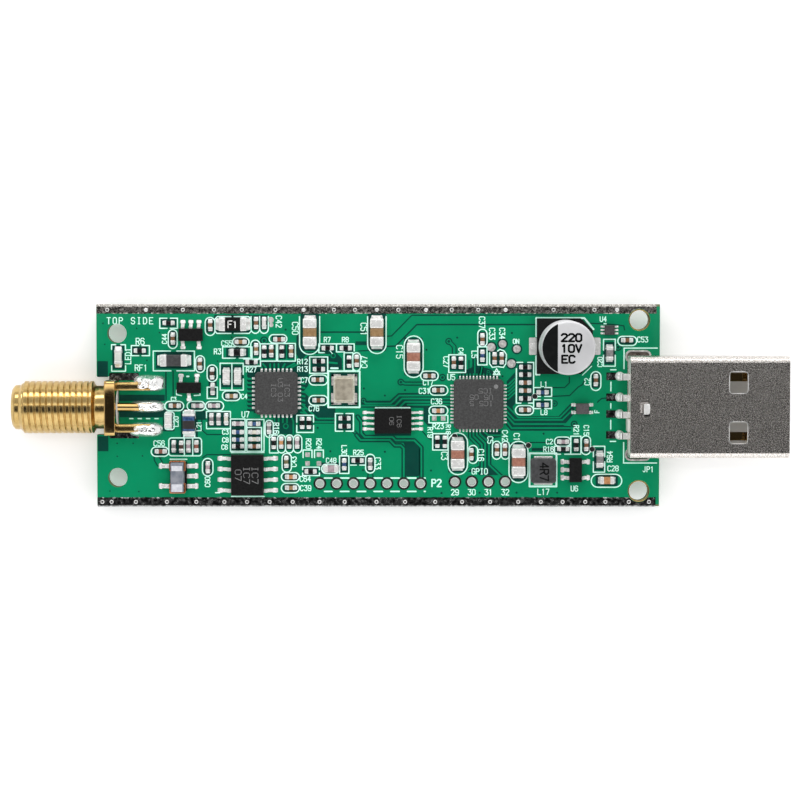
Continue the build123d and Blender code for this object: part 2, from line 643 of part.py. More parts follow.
sot_lead = gull_lead(reach=0.7, width=0.42, height=0.55, thickness=0.14)
regulator_body = moulded_body(REGULATOR_CENTRE, SOT_BODY)
regulator_leads = gull_leads(
    REGULATOR_CENTRE, ((90, [-0.95, 0, 0.95]), (270, [-0.95, 0.95])), SOT_BODY[1] / 2, sot_lead
)
clamp_body = moulded_body(CLAMP_CENTRE, (2.9, 1.3, 1.1))
clamp_leads = gull_leads(CLAMP_CENTRE, ((90, [-0.95, 0.95]), (270, [0])), 0.65, sot_lead)
buck_body = moulded_body(BUCK_CENTRE, (SOT_BODY[1], SOT_BODY[0], SOT_BODY[2]))
buck_leads = gull_leads(BUCK_CENTRE, ((180, [-0.95, 0, 0.95]), (0, [-0.95, 0.95])), SOT_BODY[1] / 2, sot_lead)

with BuildPart() as sot_leads:
    add(regulator_leads.part)
    add(clamp_leads.part)
    add(buck_leads.part)

switch_lead = gull_lead(reach=0.35, width=0.2, height=0.25, thickness=0.1)
switch_body = moulded_body(SWITCH_CENTRE, SWITCH_BODY, standoff=0.05)
switch_leads = gull_leads(
    SWITCH_CENTRE, ((0, [-0.4, 0, 0.4]), (180, [-0.4, 0, 0.4])), SWITCH_BODY[0] / 2, switch_lead
)

# ---------------------------------------------------------------- two-terminal chips

capacitor_0402_bodies, capacitor_0402_terminals = small_chip(CAPACITORS_0402, SIZE_0402)
resistor_0402_bodies, resistor_0402_terminals = small_chip(RESISTORS_0402, SIZE_0402_RESISTOR)
inductor_0402_bodies, inductor_0402_terminals = small_chip(INDUCTORS_0402, SIZE_0402)
coloured_chip_bodies, coloured_chip_ends = small_chip(CHIPS_0603, SIZE_0603)
white_chip_bodies, white_chip_ends = small_chip(WHITE_CHIPS_0603, SIZE_0603)
capacitor_1206_bodies, capacitor_1206_terminals = large_chip(CAPACITORS_1206, SIZE_1206, rounding=0.15)
polyfuse_body, polyfuse_ends = large_chip(FUSE_PLACE, SIZE_FUSE)
ferrite_bead_body, ferrite_bead_ends = large_chip(BEAD_PLACE, SIZE_BEAD, rounding=0.12)
status_led_body, status_led_terminals = large_chip(LED_PLACE, SIZE_LED)
coil_body, coil_ends = large_chip(COIL_PLACE, SIZE_COIL)

with BuildPart() as chip_0603_terminals:
    add(coloured_chip_ends.part)
    add(white_chip_ends.part)

with BuildPart() as large_chip_terminals:
    add(polyfuse_ends.part)
    add(ferrite_bead_ends.part)
    add(coil_ends.part)

# ---------------------------------------------------------------- oscillator

with BuildPart() as oscillator_base:
    base_x, base_y, base_z = OSCILLATOR_BASE
    with Locations((*OSCILLATOR_CENTRE, TOP)):
        Box(base_x, base_y, base_z, align=ON_BASE)
    fillet(oscillator_base.edges().filter_by(Axis.Z), 0.2)

with BuildPart() as oscillator_lid:
    lid_x, lid_y, lid_z = OSCILLATOR_LID
    with Locations((*OSCILLATOR_CENTRE, TOP + OSCILLATOR_BASE[2])):
        Box(lid_x, lid_y, lid_z, align=ON_BASE)
    fillet(oscillator_lid.edges().filter_by(Axis.Z), 0.3)
    fillet(oscillator_lid.faces().sort_by(Axis.Z)[-1].edges(), 0.12)

# ---------------------------------------------------------------- common-mode choke

choke_core = rounded_block(*CHOKE_BODY, 0.06)
choke_terminal = rounded_block(*CHOKE_TERMINAL, 0.04)
with BuildPart() as choke_body:
    with Locations((*CHOKE_CENTRE, TOP)):
        add(choke_core)
with BuildPart() as choke_terminals:
    with Locations((*CHOKE_CENTRE, TOP)):
        with GridLocations(CHOKE_BODY[0] + CHOKE_TERMINAL[0], CHOKE_BODY[1] - CHOKE_TERMINAL[1], 2, 2):
            add(choke_terminal)

# ---------------------------------------------------------------- power inductor

with BuildPart() as inductor_core:
    with Locations((*INDUCTOR_CENTRE, TOP)):
        Box(*INDUCTOR_BODY, align=ON_BASE)
    fillet(inductor_core.edges().filter_by(Axis.Z), 0.35)
    chamfer(inductor_core.faces().sort_by(Axis.Z)[-1].edges(), 0.08)
with BuildPart() as inductor_terminals:
    with Locations((*INDUCTOR_CENTRE, TOP)):
        with GridLocations(1, INDUCTOR_BODY[1] + INDUCTOR_TERMINAL[1], 1, 2):
            Box(*INDUCTOR_TERMINAL, align=ON_BASE)

# ---------------------------------------------------------------- input transformer

core_x, core_y, core_z = TRANSFORMER_CORE
transformer_x, transformer_y = TRANSFORMER_CENTRE
core_bottom = TOP + TRANSFORMER_BASE[2]
core_hole_z = core_bottom + core_z / 2
core_hole_offsets = (-0.8, 0.8)
with BuildPart() as transformer_core:
    with Locations((transformer_x, transformer_y, core_bottom)):
        Box(core_x, core_y, core_z, align=ON_BASE)
    fillet(transformer_core.edges().filter_by(Axis.X), 0.3)
    with Locations(
        *[
            Location((transformer_x, transformer_y + offset, core_hole_z), (0, 90, 0))
            for offset in core_hole_offsets
        ]
    ):
        Cylinder(TRANSFORMER_CORE_HOLE, 2 * core_x, mode=Mode.SUBTRACT)

with BuildPart() as transformer_base:
    with Locations((transformer_x, transformer_y, TOP)):
        Box(*TRANSFORMER_BASE, align=ON_BASE)

base_half = TRANSFORMER_BASE[0] / 2
transformer_pin = gull_lead(reach=1.05, width=0.5, height=0.25, thickness=0.15)
transformer_rows = ((0, [-1.2, 0, 1.2]), (180, [-1.2, 1.2]))
transformer_leads = gull_leads(TRANSFORMER_CENTRE, transformer_rows, base_half, transformer_pin)


def winding_turn(hole_y, outward, rise):
    """One wire loop: through a core hole along X, then back along the core's outer side."""
    half = core_x / 2 + 0.12
    outer_y = hole_y + outward
    with BuildPart() as turn:
        with BuildLine() as path:
            loop = FilletPolyline(
                (transformer_x - half, hole_y, rise),
                (transformer_x + half, hole_y, rise),
                (transformer_x + half, outer_y, rise),
                (transformer_x - half, outer_y, rise),
                radius=0.08,
                close=True,
            )
        with BuildSketch(Plane(origin=loop @ 0, z_dir=loop % 0)):
            Circle(WIRE_RADIUS)
        sweep(path=path.wires()[0])
    return turn.part


with BuildPart() as transformer_windings:
    for side in (-1, 1):
        hole_y = transformer_y + side * core_hole_offsets[1]
        for level in (-1, 0, 1):
            add(winding_turn(hole_y, side * 1.05, core_hole_z + level * 0.21))

# ---------------------------------------------------------------- electrolytic capacitor

can_x, can_y = CAN_CENTRE
can_bottom = TOP + CAN_BASE_HEIGHT
can_top = TOP + CAN_HEIGHT
with BuildPart() as electrolytic_base:
    with Locations((can_x, can_y, TOP)):
        Box(CAN_BASE, CAN_BASE, CAN_BASE_HEIGHT, align=ON_BASE)
    chamfer(electrolytic_base.edges().filter_by(Axis.Z).group_by(Axis.X)[-1], CAN_BASE_CHAMFER)
    with Locations((can_x, can_y, TOP)):
        Box(2 * CAN_BASE, CAN_TERMINAL_WIDTH, CAN_TERMINAL_THICKNESS, align=ON_BASE, mode=Mode.SUBTRACT)

with BuildPart() as electrolytic_can:
    with BuildSketch(Plane((can_x, can_y, 0), x_dir=(1, 0, 0), z_dir=(0, -1, 0))):
        with BuildLine():
            groove_middle = can_bottom + 1.3
            Polyline(
                (0, can_top - 0.06),
                (0, can_bottom),
                (CAN_RADIUS - 0.1, can_bottom),
                (CAN_RADIUS, can_bottom + 0.15),
                (CAN_RADIUS, groove_middle - CAN_GROOVE_RADIUS),
            )
            ThreePointArc(
                (CAN_RADIUS, groove_middle - CAN_GROOVE_RADIUS),
                (CAN_RADIUS - 0.15, groove_middle),
                (CAN_RADIUS, groove_middle + CAN_GROOVE_RADIUS),
            )
            Line((CAN_RADIUS, groove_middle + CAN_GROOVE_RADIUS), (CAN_RADIUS, can_top - CAN_TOP_ROUNDING))
            ThreePointArc(
                (CAN_RADIUS, can_top - CAN_TOP_ROUNDING),
                (CAN_RADIUS - 0.293 * CAN_TOP_ROUNDING, can_top - 0.293 * CAN_TOP_ROUNDING),
                (CAN_RADIUS - CAN_TOP_ROUNDING, can_top),
            )
            Polyline(
                (CAN_RADIUS - CAN_TOP_ROUNDING, can_top),
                (CAN_RADIUS - CAN_TOP_ROUNDING - 0.1, can_top - 0.06),
                (0, can_top - 0.06),
            )
        make_face()
    revolve(axis=Axis((can_x, can_y, 0), (0, 0, 1)))

with BuildPart() as electrolytic_terminals:
    for side in (-1, 1):
        with Locations((can_x + side * (0.9 + CAN_TERMINAL_REACH) / 2, can_y, TOP)):
            Box(CAN_TERMINAL_REACH - 0.9, CAN_TERMINAL_WIDTH, CAN_TERMINAL_THICKNESS, align=ON_BASE)

# ---------------------------------------------------------------- output

PARTS = {
    "circuit_board": circuit_board,
    "ground_rail_upper": ground_rail_upper,
    "ground_rail_lower": ground_rail_lower,
    "header_pads": header_pads,
    "sma_body": sma_body,
    "sma_dielectric": sma_dielectric,
    "sma_center_contact": sma_center_contact,
    "sma_ground_solder": sma_ground_solder,
    "sma_signal_solder": sma_signal_solder,
    "usb_shell": usb_shell,
    "usb_insulator": usb_insulator,
    "usb_contact_1": usb_contact_1,
    "usb_contact_2": usb_contact_2,
    "usb_contact_3": usb_contact_3,
    "usb_contact_4": usb_contact_4,
    "usb_solder_joints": usb_solder_joints,
    "demodulator_body": demodulator_body,
    "demodulator_leads": demodulator_leads,
    "tuner_body": tuner_body,
    "tuner_leads": tuner_leads,
    "mixer_body": mixer_body,
    "mixer_leads": mixer_leads,
    "eeprom_body": eeprom_body,
    "eeprom_leads": eeprom_leads,
    "regulator_body": regulator_body,
    "clamp_body": clamp_body,
    "buck_body": buck_body,
    "sot_leads": sot_leads,
    "switch_body": switch_body,
    "switch_leads": switch_leads,
    "capacitor_0402_bodies": capacitor_0402_bodies,
    "capacitor_0402_terminals": capacitor_0402_terminals,
    "resistor_0402_bodies": resistor_0402_bodies,
    "resistor_0402_terminals": resistor_0402_terminals,
    "inductor_0402_bodies": inductor_0402_bodies,
    "inductor_0402_terminals": inductor_0402_terminals,
    "coloured_chip_bodies": coloured_chip_bodies,
    "chip_0603_terminals": chip_0603_terminals,
    "white_chip_bodies": white_chip_bodies,
    "capacitor_1206_bodies": capacitor_1206_bodies,
    "capacitor_1206_terminals": capacitor_1206_terminals,
    "polyfuse_body": polyfuse_body,
    "ferrite_bead_body": ferrite_bead_body,
    "large_chip_terminals": large_chip_terminals,
    "status_led_body": status_led_body,
    "status_led_terminals": status_led_terminals,
    "coil_body": coil_body,
    "oscillator_base": oscillator_base,
    "oscillator_lid": oscillator_lid,
    "choke_body": choke_body,
    "choke_terminals": choke_terminals,
    "inductor_core": inductor_core,
    "inductor_terminals": inductor_terminals,
    "transformer_core": transformer_core,
    "transformer_base": transformer_base,
    "transformer_leads": transformer_leads,
    "transformer_windings": transformer_windings,
    "electrolytic_base": electrolytic_base,
    "electrolytic_can": electrolytic_can,
    "electrolytic_terminals": electrolytic_terminals,
}

for name, built in PARTS.items():
    built.part.label = name
    export_step(built.part, f"parts/{name}.step")
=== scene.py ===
import math

import bmesh
import bpy
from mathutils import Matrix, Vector
from mathutils.noise import noise as noise_at
from mathutils.geometry import delaunay_2d_cdt


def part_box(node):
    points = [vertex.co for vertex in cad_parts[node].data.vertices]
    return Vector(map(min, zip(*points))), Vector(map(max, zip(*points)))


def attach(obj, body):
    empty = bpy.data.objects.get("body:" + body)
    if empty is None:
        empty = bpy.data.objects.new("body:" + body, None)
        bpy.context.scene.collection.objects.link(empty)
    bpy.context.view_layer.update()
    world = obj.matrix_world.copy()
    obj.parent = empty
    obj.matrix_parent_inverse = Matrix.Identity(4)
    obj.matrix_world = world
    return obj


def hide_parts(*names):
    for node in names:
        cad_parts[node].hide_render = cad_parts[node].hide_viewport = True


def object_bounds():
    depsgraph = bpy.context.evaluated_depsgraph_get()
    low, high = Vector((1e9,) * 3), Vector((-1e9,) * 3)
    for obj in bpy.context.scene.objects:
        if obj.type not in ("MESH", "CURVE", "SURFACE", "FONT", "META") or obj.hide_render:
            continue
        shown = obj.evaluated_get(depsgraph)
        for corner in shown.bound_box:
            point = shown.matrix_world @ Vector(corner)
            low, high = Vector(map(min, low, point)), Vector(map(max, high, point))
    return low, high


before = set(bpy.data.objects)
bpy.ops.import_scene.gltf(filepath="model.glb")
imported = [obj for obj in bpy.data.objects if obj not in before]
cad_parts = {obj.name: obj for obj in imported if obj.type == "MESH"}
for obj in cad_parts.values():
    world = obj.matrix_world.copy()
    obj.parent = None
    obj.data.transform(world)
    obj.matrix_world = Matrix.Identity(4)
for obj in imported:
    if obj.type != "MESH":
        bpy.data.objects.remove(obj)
cad_low, cad_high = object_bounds()

# Everything below is in millimetres until MM turns it into metres.
# x runs from the antenna jack to the USB plug, and z = 0 is the board's lower face.
MM = 0.001
BODY = "root"


# ---------------------------------------------------------------- places taken from the CAD nodes


def box_mm(node):
    """Lowest and highest corner of a CAD node, in millimetres."""
    low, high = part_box(node)
    return low / MM, high / MM


def solids(node):
    """Lowest and highest corner of each separate solid of a CAD node, in millimetres."""
    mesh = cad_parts[node].data
    spot_of = {}
    owner = []
    vertex_spot = []
    for vertex in mesh.vertices:
        key = tuple(round(c * 1e7) for c in vertex.co)
        if key not in spot_of:
            spot_of[key] = len(owner)
            owner.append(spot_of[key])
        vertex_spot.append(spot_of[key])

    def root(i):
        while owner[i] != i:
            owner[i] = owner[owner[i]]
            i = owner[i]
        return i

    for polygon in mesh.polygons:
        first = root(vertex_spot[polygon.vertices[0]])
        for index in polygon.vertices[1:]:
            owner[root(vertex_spot[index])] = first
    groups = {}
    for vertex, spot in zip(mesh.vertices, vertex_spot):
        groups.setdefault(root(spot), []).append(vertex.co / MM)
    found = []
    for points in groups.values():
        low = Vector([min(p[i] for p in points) for i in range(3)])
        high = Vector([max(p[i] for p in points) for i in range(3)])
        found.append((low, high))
    return sorted(found, key=lambda b: (round(b[0].x, 3), round(b[0].y, 3)))


board_low, board_high = box_mm("circuit_board")
TOP = board_high.z
HALF_WIDTH = board_high.y
LEFT = board_low.x
RIGHT = board_high.x


# ---------------------------------------------------------------- materials


def new_material(name):
    mat = bpy.data.materials.new(name)
    mat.use_nodes = True
    nodes = mat.node_tree.nodes
    links = mat.node_tree.links
    shader = nodes["Principled BSDF"]
    return mat, nodes, links, shader


def noise(nodes, links, scale, detail, stretch=(1, 1, 1)):
    """A noise texture in the object's own coordinates; scale is in features per metre."""
    coordinates = nodes.new("ShaderNodeTexCoord")
    mapping = nodes.new("ShaderNodeMapping")
    mapping.inputs["Scale"].default_value = stretch
    links.new(coordinates.outputs["Object"], mapping.inputs["Vector"])
    texture = nodes.new("ShaderNodeTexNoise")
    texture.inputs["Scale"].default_value = scale
    texture.inputs["Detail"].default_value = detail
    links.new(mapping.outputs["Vector"], texture.inputs["Vector"])
    return texture


def tone(nodes, links, factor, low_colour, high_colour, start, end):
    """A colour that runs between two tones as the factor goes from start to end."""
    ramp = nodes.new("ShaderNodeValToRGB")
    ramp.color_ramp.elements[0].position = start
    ramp.color_ramp.elements[0].color = (*low_colour, 1)
    ramp.color_ramp.elements[1].position = end
    ramp.color_ramp.elements[1].color = (*high_colour, 1)
    links.new(factor, ramp.inputs["Fac"])
    return ramp.outputs["Color"]


def spread(nodes, links, factor, low_value, high_value):
    """A number that runs between two values with the factor."""
    ranged = nodes.new("ShaderNodeMapRange")
    ranged.inputs["From Min"].default_value = 0.3
    ranged.inputs["From Max"].default_value = 0.7
    ranged.inputs["To Min"].default_value = low_value
    ranged.inputs["To Max"].default_value = high_value
    links.new(factor, ranged.inputs["Value"])
    return ranged.outputs["Result"]


def bump(nodes, links, shader, height, strength, depth_mm):
    bumper = nodes.new("ShaderNodeBump")
    bumper.inputs["Strength"].default_value = strength
    bumper.inputs["Distance"].default_value = depth_mm * MM
    links.new(height, bumper.inputs["Height"])
    links.new(bumper.outputs["Normal"], shader.inputs["Normal"])


def finish(
    name, dark, light, metallic, rough, grain, relief, relief_mm, patch,
    grain_detail=3.0, coat=0.0, stretch=(1, 1, 1), specular=0.5, painted_glow=0.0, contrast=0.15,
):
    """One surface finish: patchy colour, uneven gloss and a fine relief; any glow is painted light in the
    surface's own colour.
    """
    mat, nodes, links, shader = new_material(name)
    patches = noise(nodes, links, patch, 3.0)
    colour = tone(nodes, links, patches.outputs["Fac"], dark, light, 0.5 - contrast, 0.5 + contrast)
    links.new(colour, shader.inputs["Base Color"])
    fine = noise(nodes, links, grain, grain_detail, stretch)
    links.new(spread(nodes, links, fine.outputs["Fac"], *rough), shader.inputs["Roughness"])
    shader.inputs["Metallic"].default_value = metallic
    shader.inputs["Coat Weight"].default_value = coat
    shader.inputs["Coat Roughness"].default_value = 0.15
    shader.inputs["Specular IOR Level"].default_value = specular
    if painted_glow:
        links.new(colour, shader.inputs["Emission Color"])
        shader.inputs["Emission Strength"].default_value = painted_glow
    bump(nodes, links, shader, fine.outputs["Fac"], relief, relief_mm)
    return mat


# Name, dark and light colour, metallic, roughness range, grain per metre,
# strength of the relief, its depth in millimetres, patches per metre
MASK = finish(
    "solder_mask", (0, 0.243, 0.104), (0, 0.289, 0.125), 0.0, (0.28, 0.38), 2500, 0.1, 0.005, 140,
    specular=0.2,
)
MASK_DARK = finish(
    "solder_mask_over_laminate", (0, 0.0496, 0.0368), (0, 0.0656, 0.0464), 0.0, (0.3, 0.4), 2500, 0.1,
    0.005, 400, specular=0.2,
)
LAMINATE = finish(
    "laminate_edge", (0.10, 0.14, 0.055), (0.20, 0.22, 0.09), 0.0, (0.6, 0.8), 6000, 0.4, 0.02, 300,
    stretch=(1, 1, 4),
)
# The marking ink glows faintly in its own colour: a painted brightening of the white print.
SILK = finish(
    "marking_ink", (0.56, 0.95, 0.81), (0.70, 1.0, 0.90), 0.0, (0.5, 0.6), 4000, 0.1, 0.004, 900,
    specular=0.3, painted_glow=0.16,
)
SOLDER = finish("solder", (0.90, 0.90, 0.89), (0.99, 0.99, 0.98), 0.35, (0.14, 0.26), 1500, 0.18, 0.02, 1200)
TIN = finish("tin_plating", (0.84, 0.84, 0.82), (0.96, 0.96, 0.94), 0.3, (0.18, 0.3), 3000, 0.1, 0.01, 1500)
BRIGHT_SOLDER = finish(
    "bright_solder", (0.90, 0.90, 0.89), (0.99, 0.99, 0.98), 0.85, (0.06, 0.16), 900, 0.3, 0.03, 1200,
)
WORN_TIN = finish("worn_tin", (0.42, 0.40, 0.39), (0.78, 0.76, 0.74), 0.35, (0.3, 0.5), 3500, 0.3, 0.02, 3000)
# Solder inside the plug's slots, drawn very dark: painted shade in the recess.
SHADED_SLOT_SOLDER = finish(
    "slot_solder_painted_shade", (0.039, 0.0273, 0.0218), (0.172, 0.14, 0.117), 0.5, (0.25, 0.45), 2600, 0.4, 0.03, 2500,
)
# A darker copy of the rail solder, for the lower rail and for pads beside tall parts: painted shade.
SHADED_RAIL_TIN = finish(
    "rail_solder_painted_shade", (0.098, 0.101, 0.101), (0.392, 0.399, 0.392), 1.0, (0.10, 0.3), 2600, 0.5, 0.04,
    2600, grain_detail=6.0, contrast=0.12,
)
RAIL_TIN = finish(
    "rail_solder", (0.22, 0.205, 0.185), (0.60, 0.58, 0.54), 1.0, (0.14, 0.36), 3500, 0.5, 0.025, 4500,
    grain_detail=6.0, contrast=0.14,
)
# Near-black tin for the pads round the header holes: a painted dark reflection.
PAINTED_REFLECTION_RING = finish(
    "ring_painted_dark_reflection", (0.004, 0.012, 0.01), (0.02, 0.03, 0.026), 0.4, (0.2, 0.4), 2600, 0.2, 0.01, 2500,
)
GOLD = finish(
    "gold_plating", (0.50, 0.33, 0.125), (0.62, 0.43, 0.18), 1.0, (0.06, 0.13), 1500, 0.08, 0.01, 600,
)
SOFT_GOLD = finish(
    "soft_gold_plating", (0.50, 0.34, 0.125), (0.62, 0.44, 0.18), 1.0, (0.17, 0.23), 2500, 0.08, 0.01, 1200,
)
PTFE = finish("ptfe", (0.80, 0.79, 0.76), (0.90, 0.89, 0.87), 0.0, (0.4, 0.5), 3000, 0.1, 0.01, 300)
WHITE_PLASTIC = finish(
    "white_plastic", (0.74, 0.73, 0.69), (0.86, 0.85, 0.81), 0.0, (0.35, 0.5), 2500, 0.1, 0.01, 300,
)
PLUG_STEEL = finish(
    "plug_steel", (0.40, 0.365, 0.335), (0.98, 0.94, 0.90), 1.0, (0.13, 0.37), 9000, 0.9, 0.01, 11000,
    grain_detail=6.0, contrast=0.1,
)
MOULD = finish(
    "black_mould", (0.0055, 0.0055, 0.0057), (0.0115, 0.0115, 0.0115), 0.0, (0.5, 0.7), 9000, 0.5, 0.01,
    5000, grain_detail=5.0, specular=0.12,
)
MOULD_MARK = finish(
    "mould_marking", (0.152, 0.152, 0.152), (0.28, 0.28, 0.28), 0.0, (0.6, 0.8), 9000, 0.3, 0.005, 9000,
)
RESISTOR_GLAZE = finish(
    "resistor_glaze", (0.004, 0.004, 0.005), (0.012, 0.012, 0.013), 0.0, (0.15, 0.3), 5000, 0.2, 0.01, 300,
)
FERRITE = finish(
    "ferrite", (0.0437, 0.0437, 0.0455), (0.0718, 0.0718, 0.0749), 0.2, (0.35, 0.55), 6000, 0.4, 0.015, 2500,
)
BLUE_FERRITE = finish(
    "blue_grey_core", (0.187, 0.211, 0.257), (0.328, 0.343, 0.39), 0.2, (0.3, 0.5), 4000, 0.3, 0.015, 1200,
)
PALE_FERRITE = finish(
    "pale_core", (0.66, 0.67, 0.74), (0.84, 0.85, 0.90), 0.1, (0.3, 0.5), 4000, 0.3, 0.01, 2200,
)
QFN_MOULD = finish(
    "grey_mould", (0.0418, 0.0418, 0.0418), (0.0709, 0.0709, 0.0709), 0.0, (0.5, 0.7), 9000, 0.5, 0.01,
    5000, grain_detail=5.0, specular=0.3,
)
PALE_MOULD = finish(
    "pale_mould", (0.0858, 0.078, 0.0819), (0.117, 0.109, 0.113), 0.0, (0.5, 0.7), 9000, 0.3, 0.01, 5000,
    grain_detail=5.0, specular=0.3,
)
WHITE_PRINT = finish(
    "white_print", (0.78, 0.78, 0.76), (0.9, 0.9, 0.88), 0.0, (0.5, 0.7), 5000, 0.2, 0.005, 1500,
    specular=0.2,
)
COPPER_WIRE = finish(
    "enamelled_copper", (0.34, 0.09, 0.03), (0.62, 0.22, 0.08), 0.8, (0.2, 0.35), 3000, 0.2, 0.01, 300,
    coat=0.5,
)
BLUE_COIL = finish(
    "blue_winding", (0.00936, 0.039, 0.125), (0.039, 0.109, 0.281), 0.0, (0.15, 0.3), 9000, 0.6, 0.02,
    2500, coat=0.6, stretch=(1, 8, 1),
)
COIL_DARK = finish(
    "coil_ferrite", (0.0117, 0.0109, 0.0125), (0.039, 0.0351, 0.0351), 0.0, (0.3, 0.5), 5000, 0.3, 0.01, 300,
)
LID = finish("lid_metal", (0.50, 0.44, 0.34), (0.66, 0.60, 0.48), 0.6, (0.28, 0.42), 3000, 0.2, 0.015, 1500)
CAN = finish(
    "can_aluminium", (0.594, 0.594, 0.608), (0.72, 0.72, 0.733), 0.4, (0.4, 0.55), 2500, 0.12, 0.01, 250,
    stretch=(6, 1, 1),
)
CAN_PRINT = finish(
    "can_print", (0.003, 0.004, 0.004), (0.006, 0.007, 0.007), 0.0, (0.5, 0.7), 5000, 0.2, 0.005, 1500,
    specular=0.1,
)
LED_RESIN = finish(
    "led_resin", (0.72, 0.76, 0.70), (0.88, 0.92, 0.86), 0.0, (0.2, 0.35), 3000, 0.2, 0.01, 300, coat=0.4,
)
# Near black for the inside of open holes and gaps, where shade falls: painted shade.
PAINTED_HOLE_SHADE = finish(
    "open_via_painted_shade", (0.001, 0.001, 0.001), (0.004, 0.004, 0.004), 0.0, (0.6, 0.8), 5000, 0.1, 0.005, 300,
)
CERAMIC = {
    name: finish("ceramic_" + name, dark, light, 0.0, (0.3, 0.45), 6000, 0.3, 0.008, 3500)
    for name, dark, light in (
        ("tan", (0.27, 0.16, 0.065), (0.38, 0.24, 0.11)),
        ("brown", (0.16, 0.075, 0.035), (0.26, 0.13, 0.06)),
        ("dark", (0.045, 0.025, 0.018), (0.09, 0.05, 0.035)),
        ("rose", (0.32, 0.13, 0.085), (0.44, 0.20, 0.14)),
        ("red", (0.22, 0.07, 0.045), (0.33, 0.13, 0.09)),
        ("pink", (0.34, 0.26, 0.29), (0.50, 0.40, 0.43)),
        ("grey", (0.20, 0.19, 0.19), (0.32, 0.31, 0.31)),
        ("cream", (0.62, 0.60, 0.50), (0.78, 0.76, 0.66)),
        ("orange", (0.46, 0.20, 0.075), (0.62, 0.31, 0.13)),
        ("olive", (0.12, 0.11, 0.05), (0.21, 0.19, 0.09)),
        ("white", (0.66, 0.65, 0.63), (0.82, 0.81, 0.79)),
    )
}


# ---------------------------------------------------------------- mesh building


class Piece:
    """Collects closed shapes in millimetres, each with a material, and becomes one object."""

    def __init__(self):
        self.vertices = []
        self.faces = []
        self.kinds = []
        self.materials = []

    def add(self, vertices, faces, mat):
        """Take in one closed shape; its faces count from its own first vertex."""
        if mat not in self.materials:
            self.materials.append(mat)
        kind = self.materials.index(mat)
        start = len(self.vertices)
        self.vertices += vertices
        self.faces += [[start + i for i in face] for face in faces]
        self.kinds += [kind] * len(faces)

    def build(self, name, slot, *nodes, smooth=35):
        """Make the object, which stands for the given CAD nodes."""
        mesh = bpy.data.meshes.new(name)
        mesh.from_pydata([(x * MM, y * MM, z * MM) for x, y, z in self.vertices], [], self.faces)
        for mat in self.materials:
            mesh.materials.append(mat)
        mesh.polygons.foreach_set("material_index", self.kinds)
        finish_mesh(mesh, smooth)
        add_object(mesh, name, slot, *nodes)


def add_object(mesh, name, slot, *nodes):
    """An object on the part's body, which stands for the given CAD nodes."""
    thing = bpy.data.objects.new(name, mesh)
    bpy.context.scene.collection.objects.link(thing)
    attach(thing, BODY)
    if nodes:
        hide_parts(*nodes)
    return thing


def finish_mesh(mesh, smooth):
    """Outward normals, and smooth shading across edges flatter than the given angle in degrees."""
    work = bmesh.new()
    work.from_mesh(mesh)
    bmesh.ops.recalc_face_normals(work, faces=work.faces)
    work.to_mesh(mesh)
    work.free()
    mesh.shade_smooth()
    mesh.set_sharp_from_angle(angle=math.radians(smooth))
    mesh.update()


def skin(count, rows, start=0):
    """Faces between pairs of rows of points, where each row is a closed loop of the same count."""
    faces = []
    for row, following in rows:
        a = start + row * count
        b = start + following * count
        for i in range(count):
            j = (i + 1) % count
            faces.append([a + i, a + j, b + j, b + i])
    return faces


def loft(piece, loops, mat):
    """A closed shape through loops of points that all have the same count."""
    count = len(loops[0])
    last = len(loops) - 1
    faces = skin(count, [(row, row + 1) for row in range(last)])
    faces.append(list(range(count))[::-1])
    faces.append([last * count + i for i in range(count)])
    piece.add([point for loop in loops for point in loop], faces, mat)


def hoop(piece, loops, mat):
    """A closed ring-shaped body: each loop joins the next, and the last joins the first."""
    rows = [(row, (row + 1) % len(loops)) for row in range(len(loops))]
    piece.add([point for loop in loops for point in loop], skin(len(loops[0]), rows), mat)


def turned(points, x, y, angle):
    """Flat points turned by an angle in degrees about their origin, then moved to x, y."""
    c = math.cos(math.radians(angle))
    s = math.sin(math.radians(angle))
    return [(x + c * u - s * v, y + s * u + c * v) for u, v in points]


def arc_points(cx, cy, radius, start, end, count):
    """Points on an arc, angles in degrees."""
    points = []
    for i in range(count):
        angle = math.radians(start + (end - start) * i / (count - 1))
        points.append((cx + radius * math.cos(angle), cy + radius * math.sin(angle)))
    return points


def rounded_outline(width, height, radius, steps=4):
    """A rectangle with round corners about the origin, counter-clockwise."""
    a = width / 2 - radius
    b = height / 2 - radius
    points = []
    for cx, cy, start in ((a, b, 0), (-a, b, 90), (-a, -b, 180), (a, -b, 270)):
        points += arc_points(cx, cy, radius, start, start + 90, steps)
    return points


def circle_points(cx, cy, radius, count):
    return arc_points(cx, cy, radius, 0, 360 - 360 / count, count)


def block(piece, low, high, mat, corner, edge):
    """A block between two corners with rounded upright corners and a rounded top edge."""
    width = high.x - low.x
    depth = high.y - low.y
    cx = (low.x + high.x) / 2
    cy = (low.y + high.y) / 2
    levels = [(low.z, 0.0)]
    for degrees in (0, 30, 60, 90):
        angle = math.radians(degrees)
        levels.append((high.z - edge + edge * math.sin(angle), edge * (1 - math.cos(angle))))
    loops = []
    for z, inset in levels:
        radius = max(corner - inset * 0.6, 0.01)
        outline = rounded_outline(width - 2 * inset, depth - 2 * inset, radius)
        loops.append([(x, y, z) for x, y in turned(outline, cx, cy, 0)])
    loft(piece, loops, mat)


def prism(piece, outline, low_z, high_z, mat):
    """A flat outline raised from one height to another."""
    loft(piece, [[(x, y, low_z) for x, y in outline], [(x, y, high_z) for x, y in outline]], mat)


def level_circle(centre, radius, z, count):
    """Points on a circle that lies flat at a height."""
    return [(x, y, z) for x, y in circle_points(*centre, radius, count)]


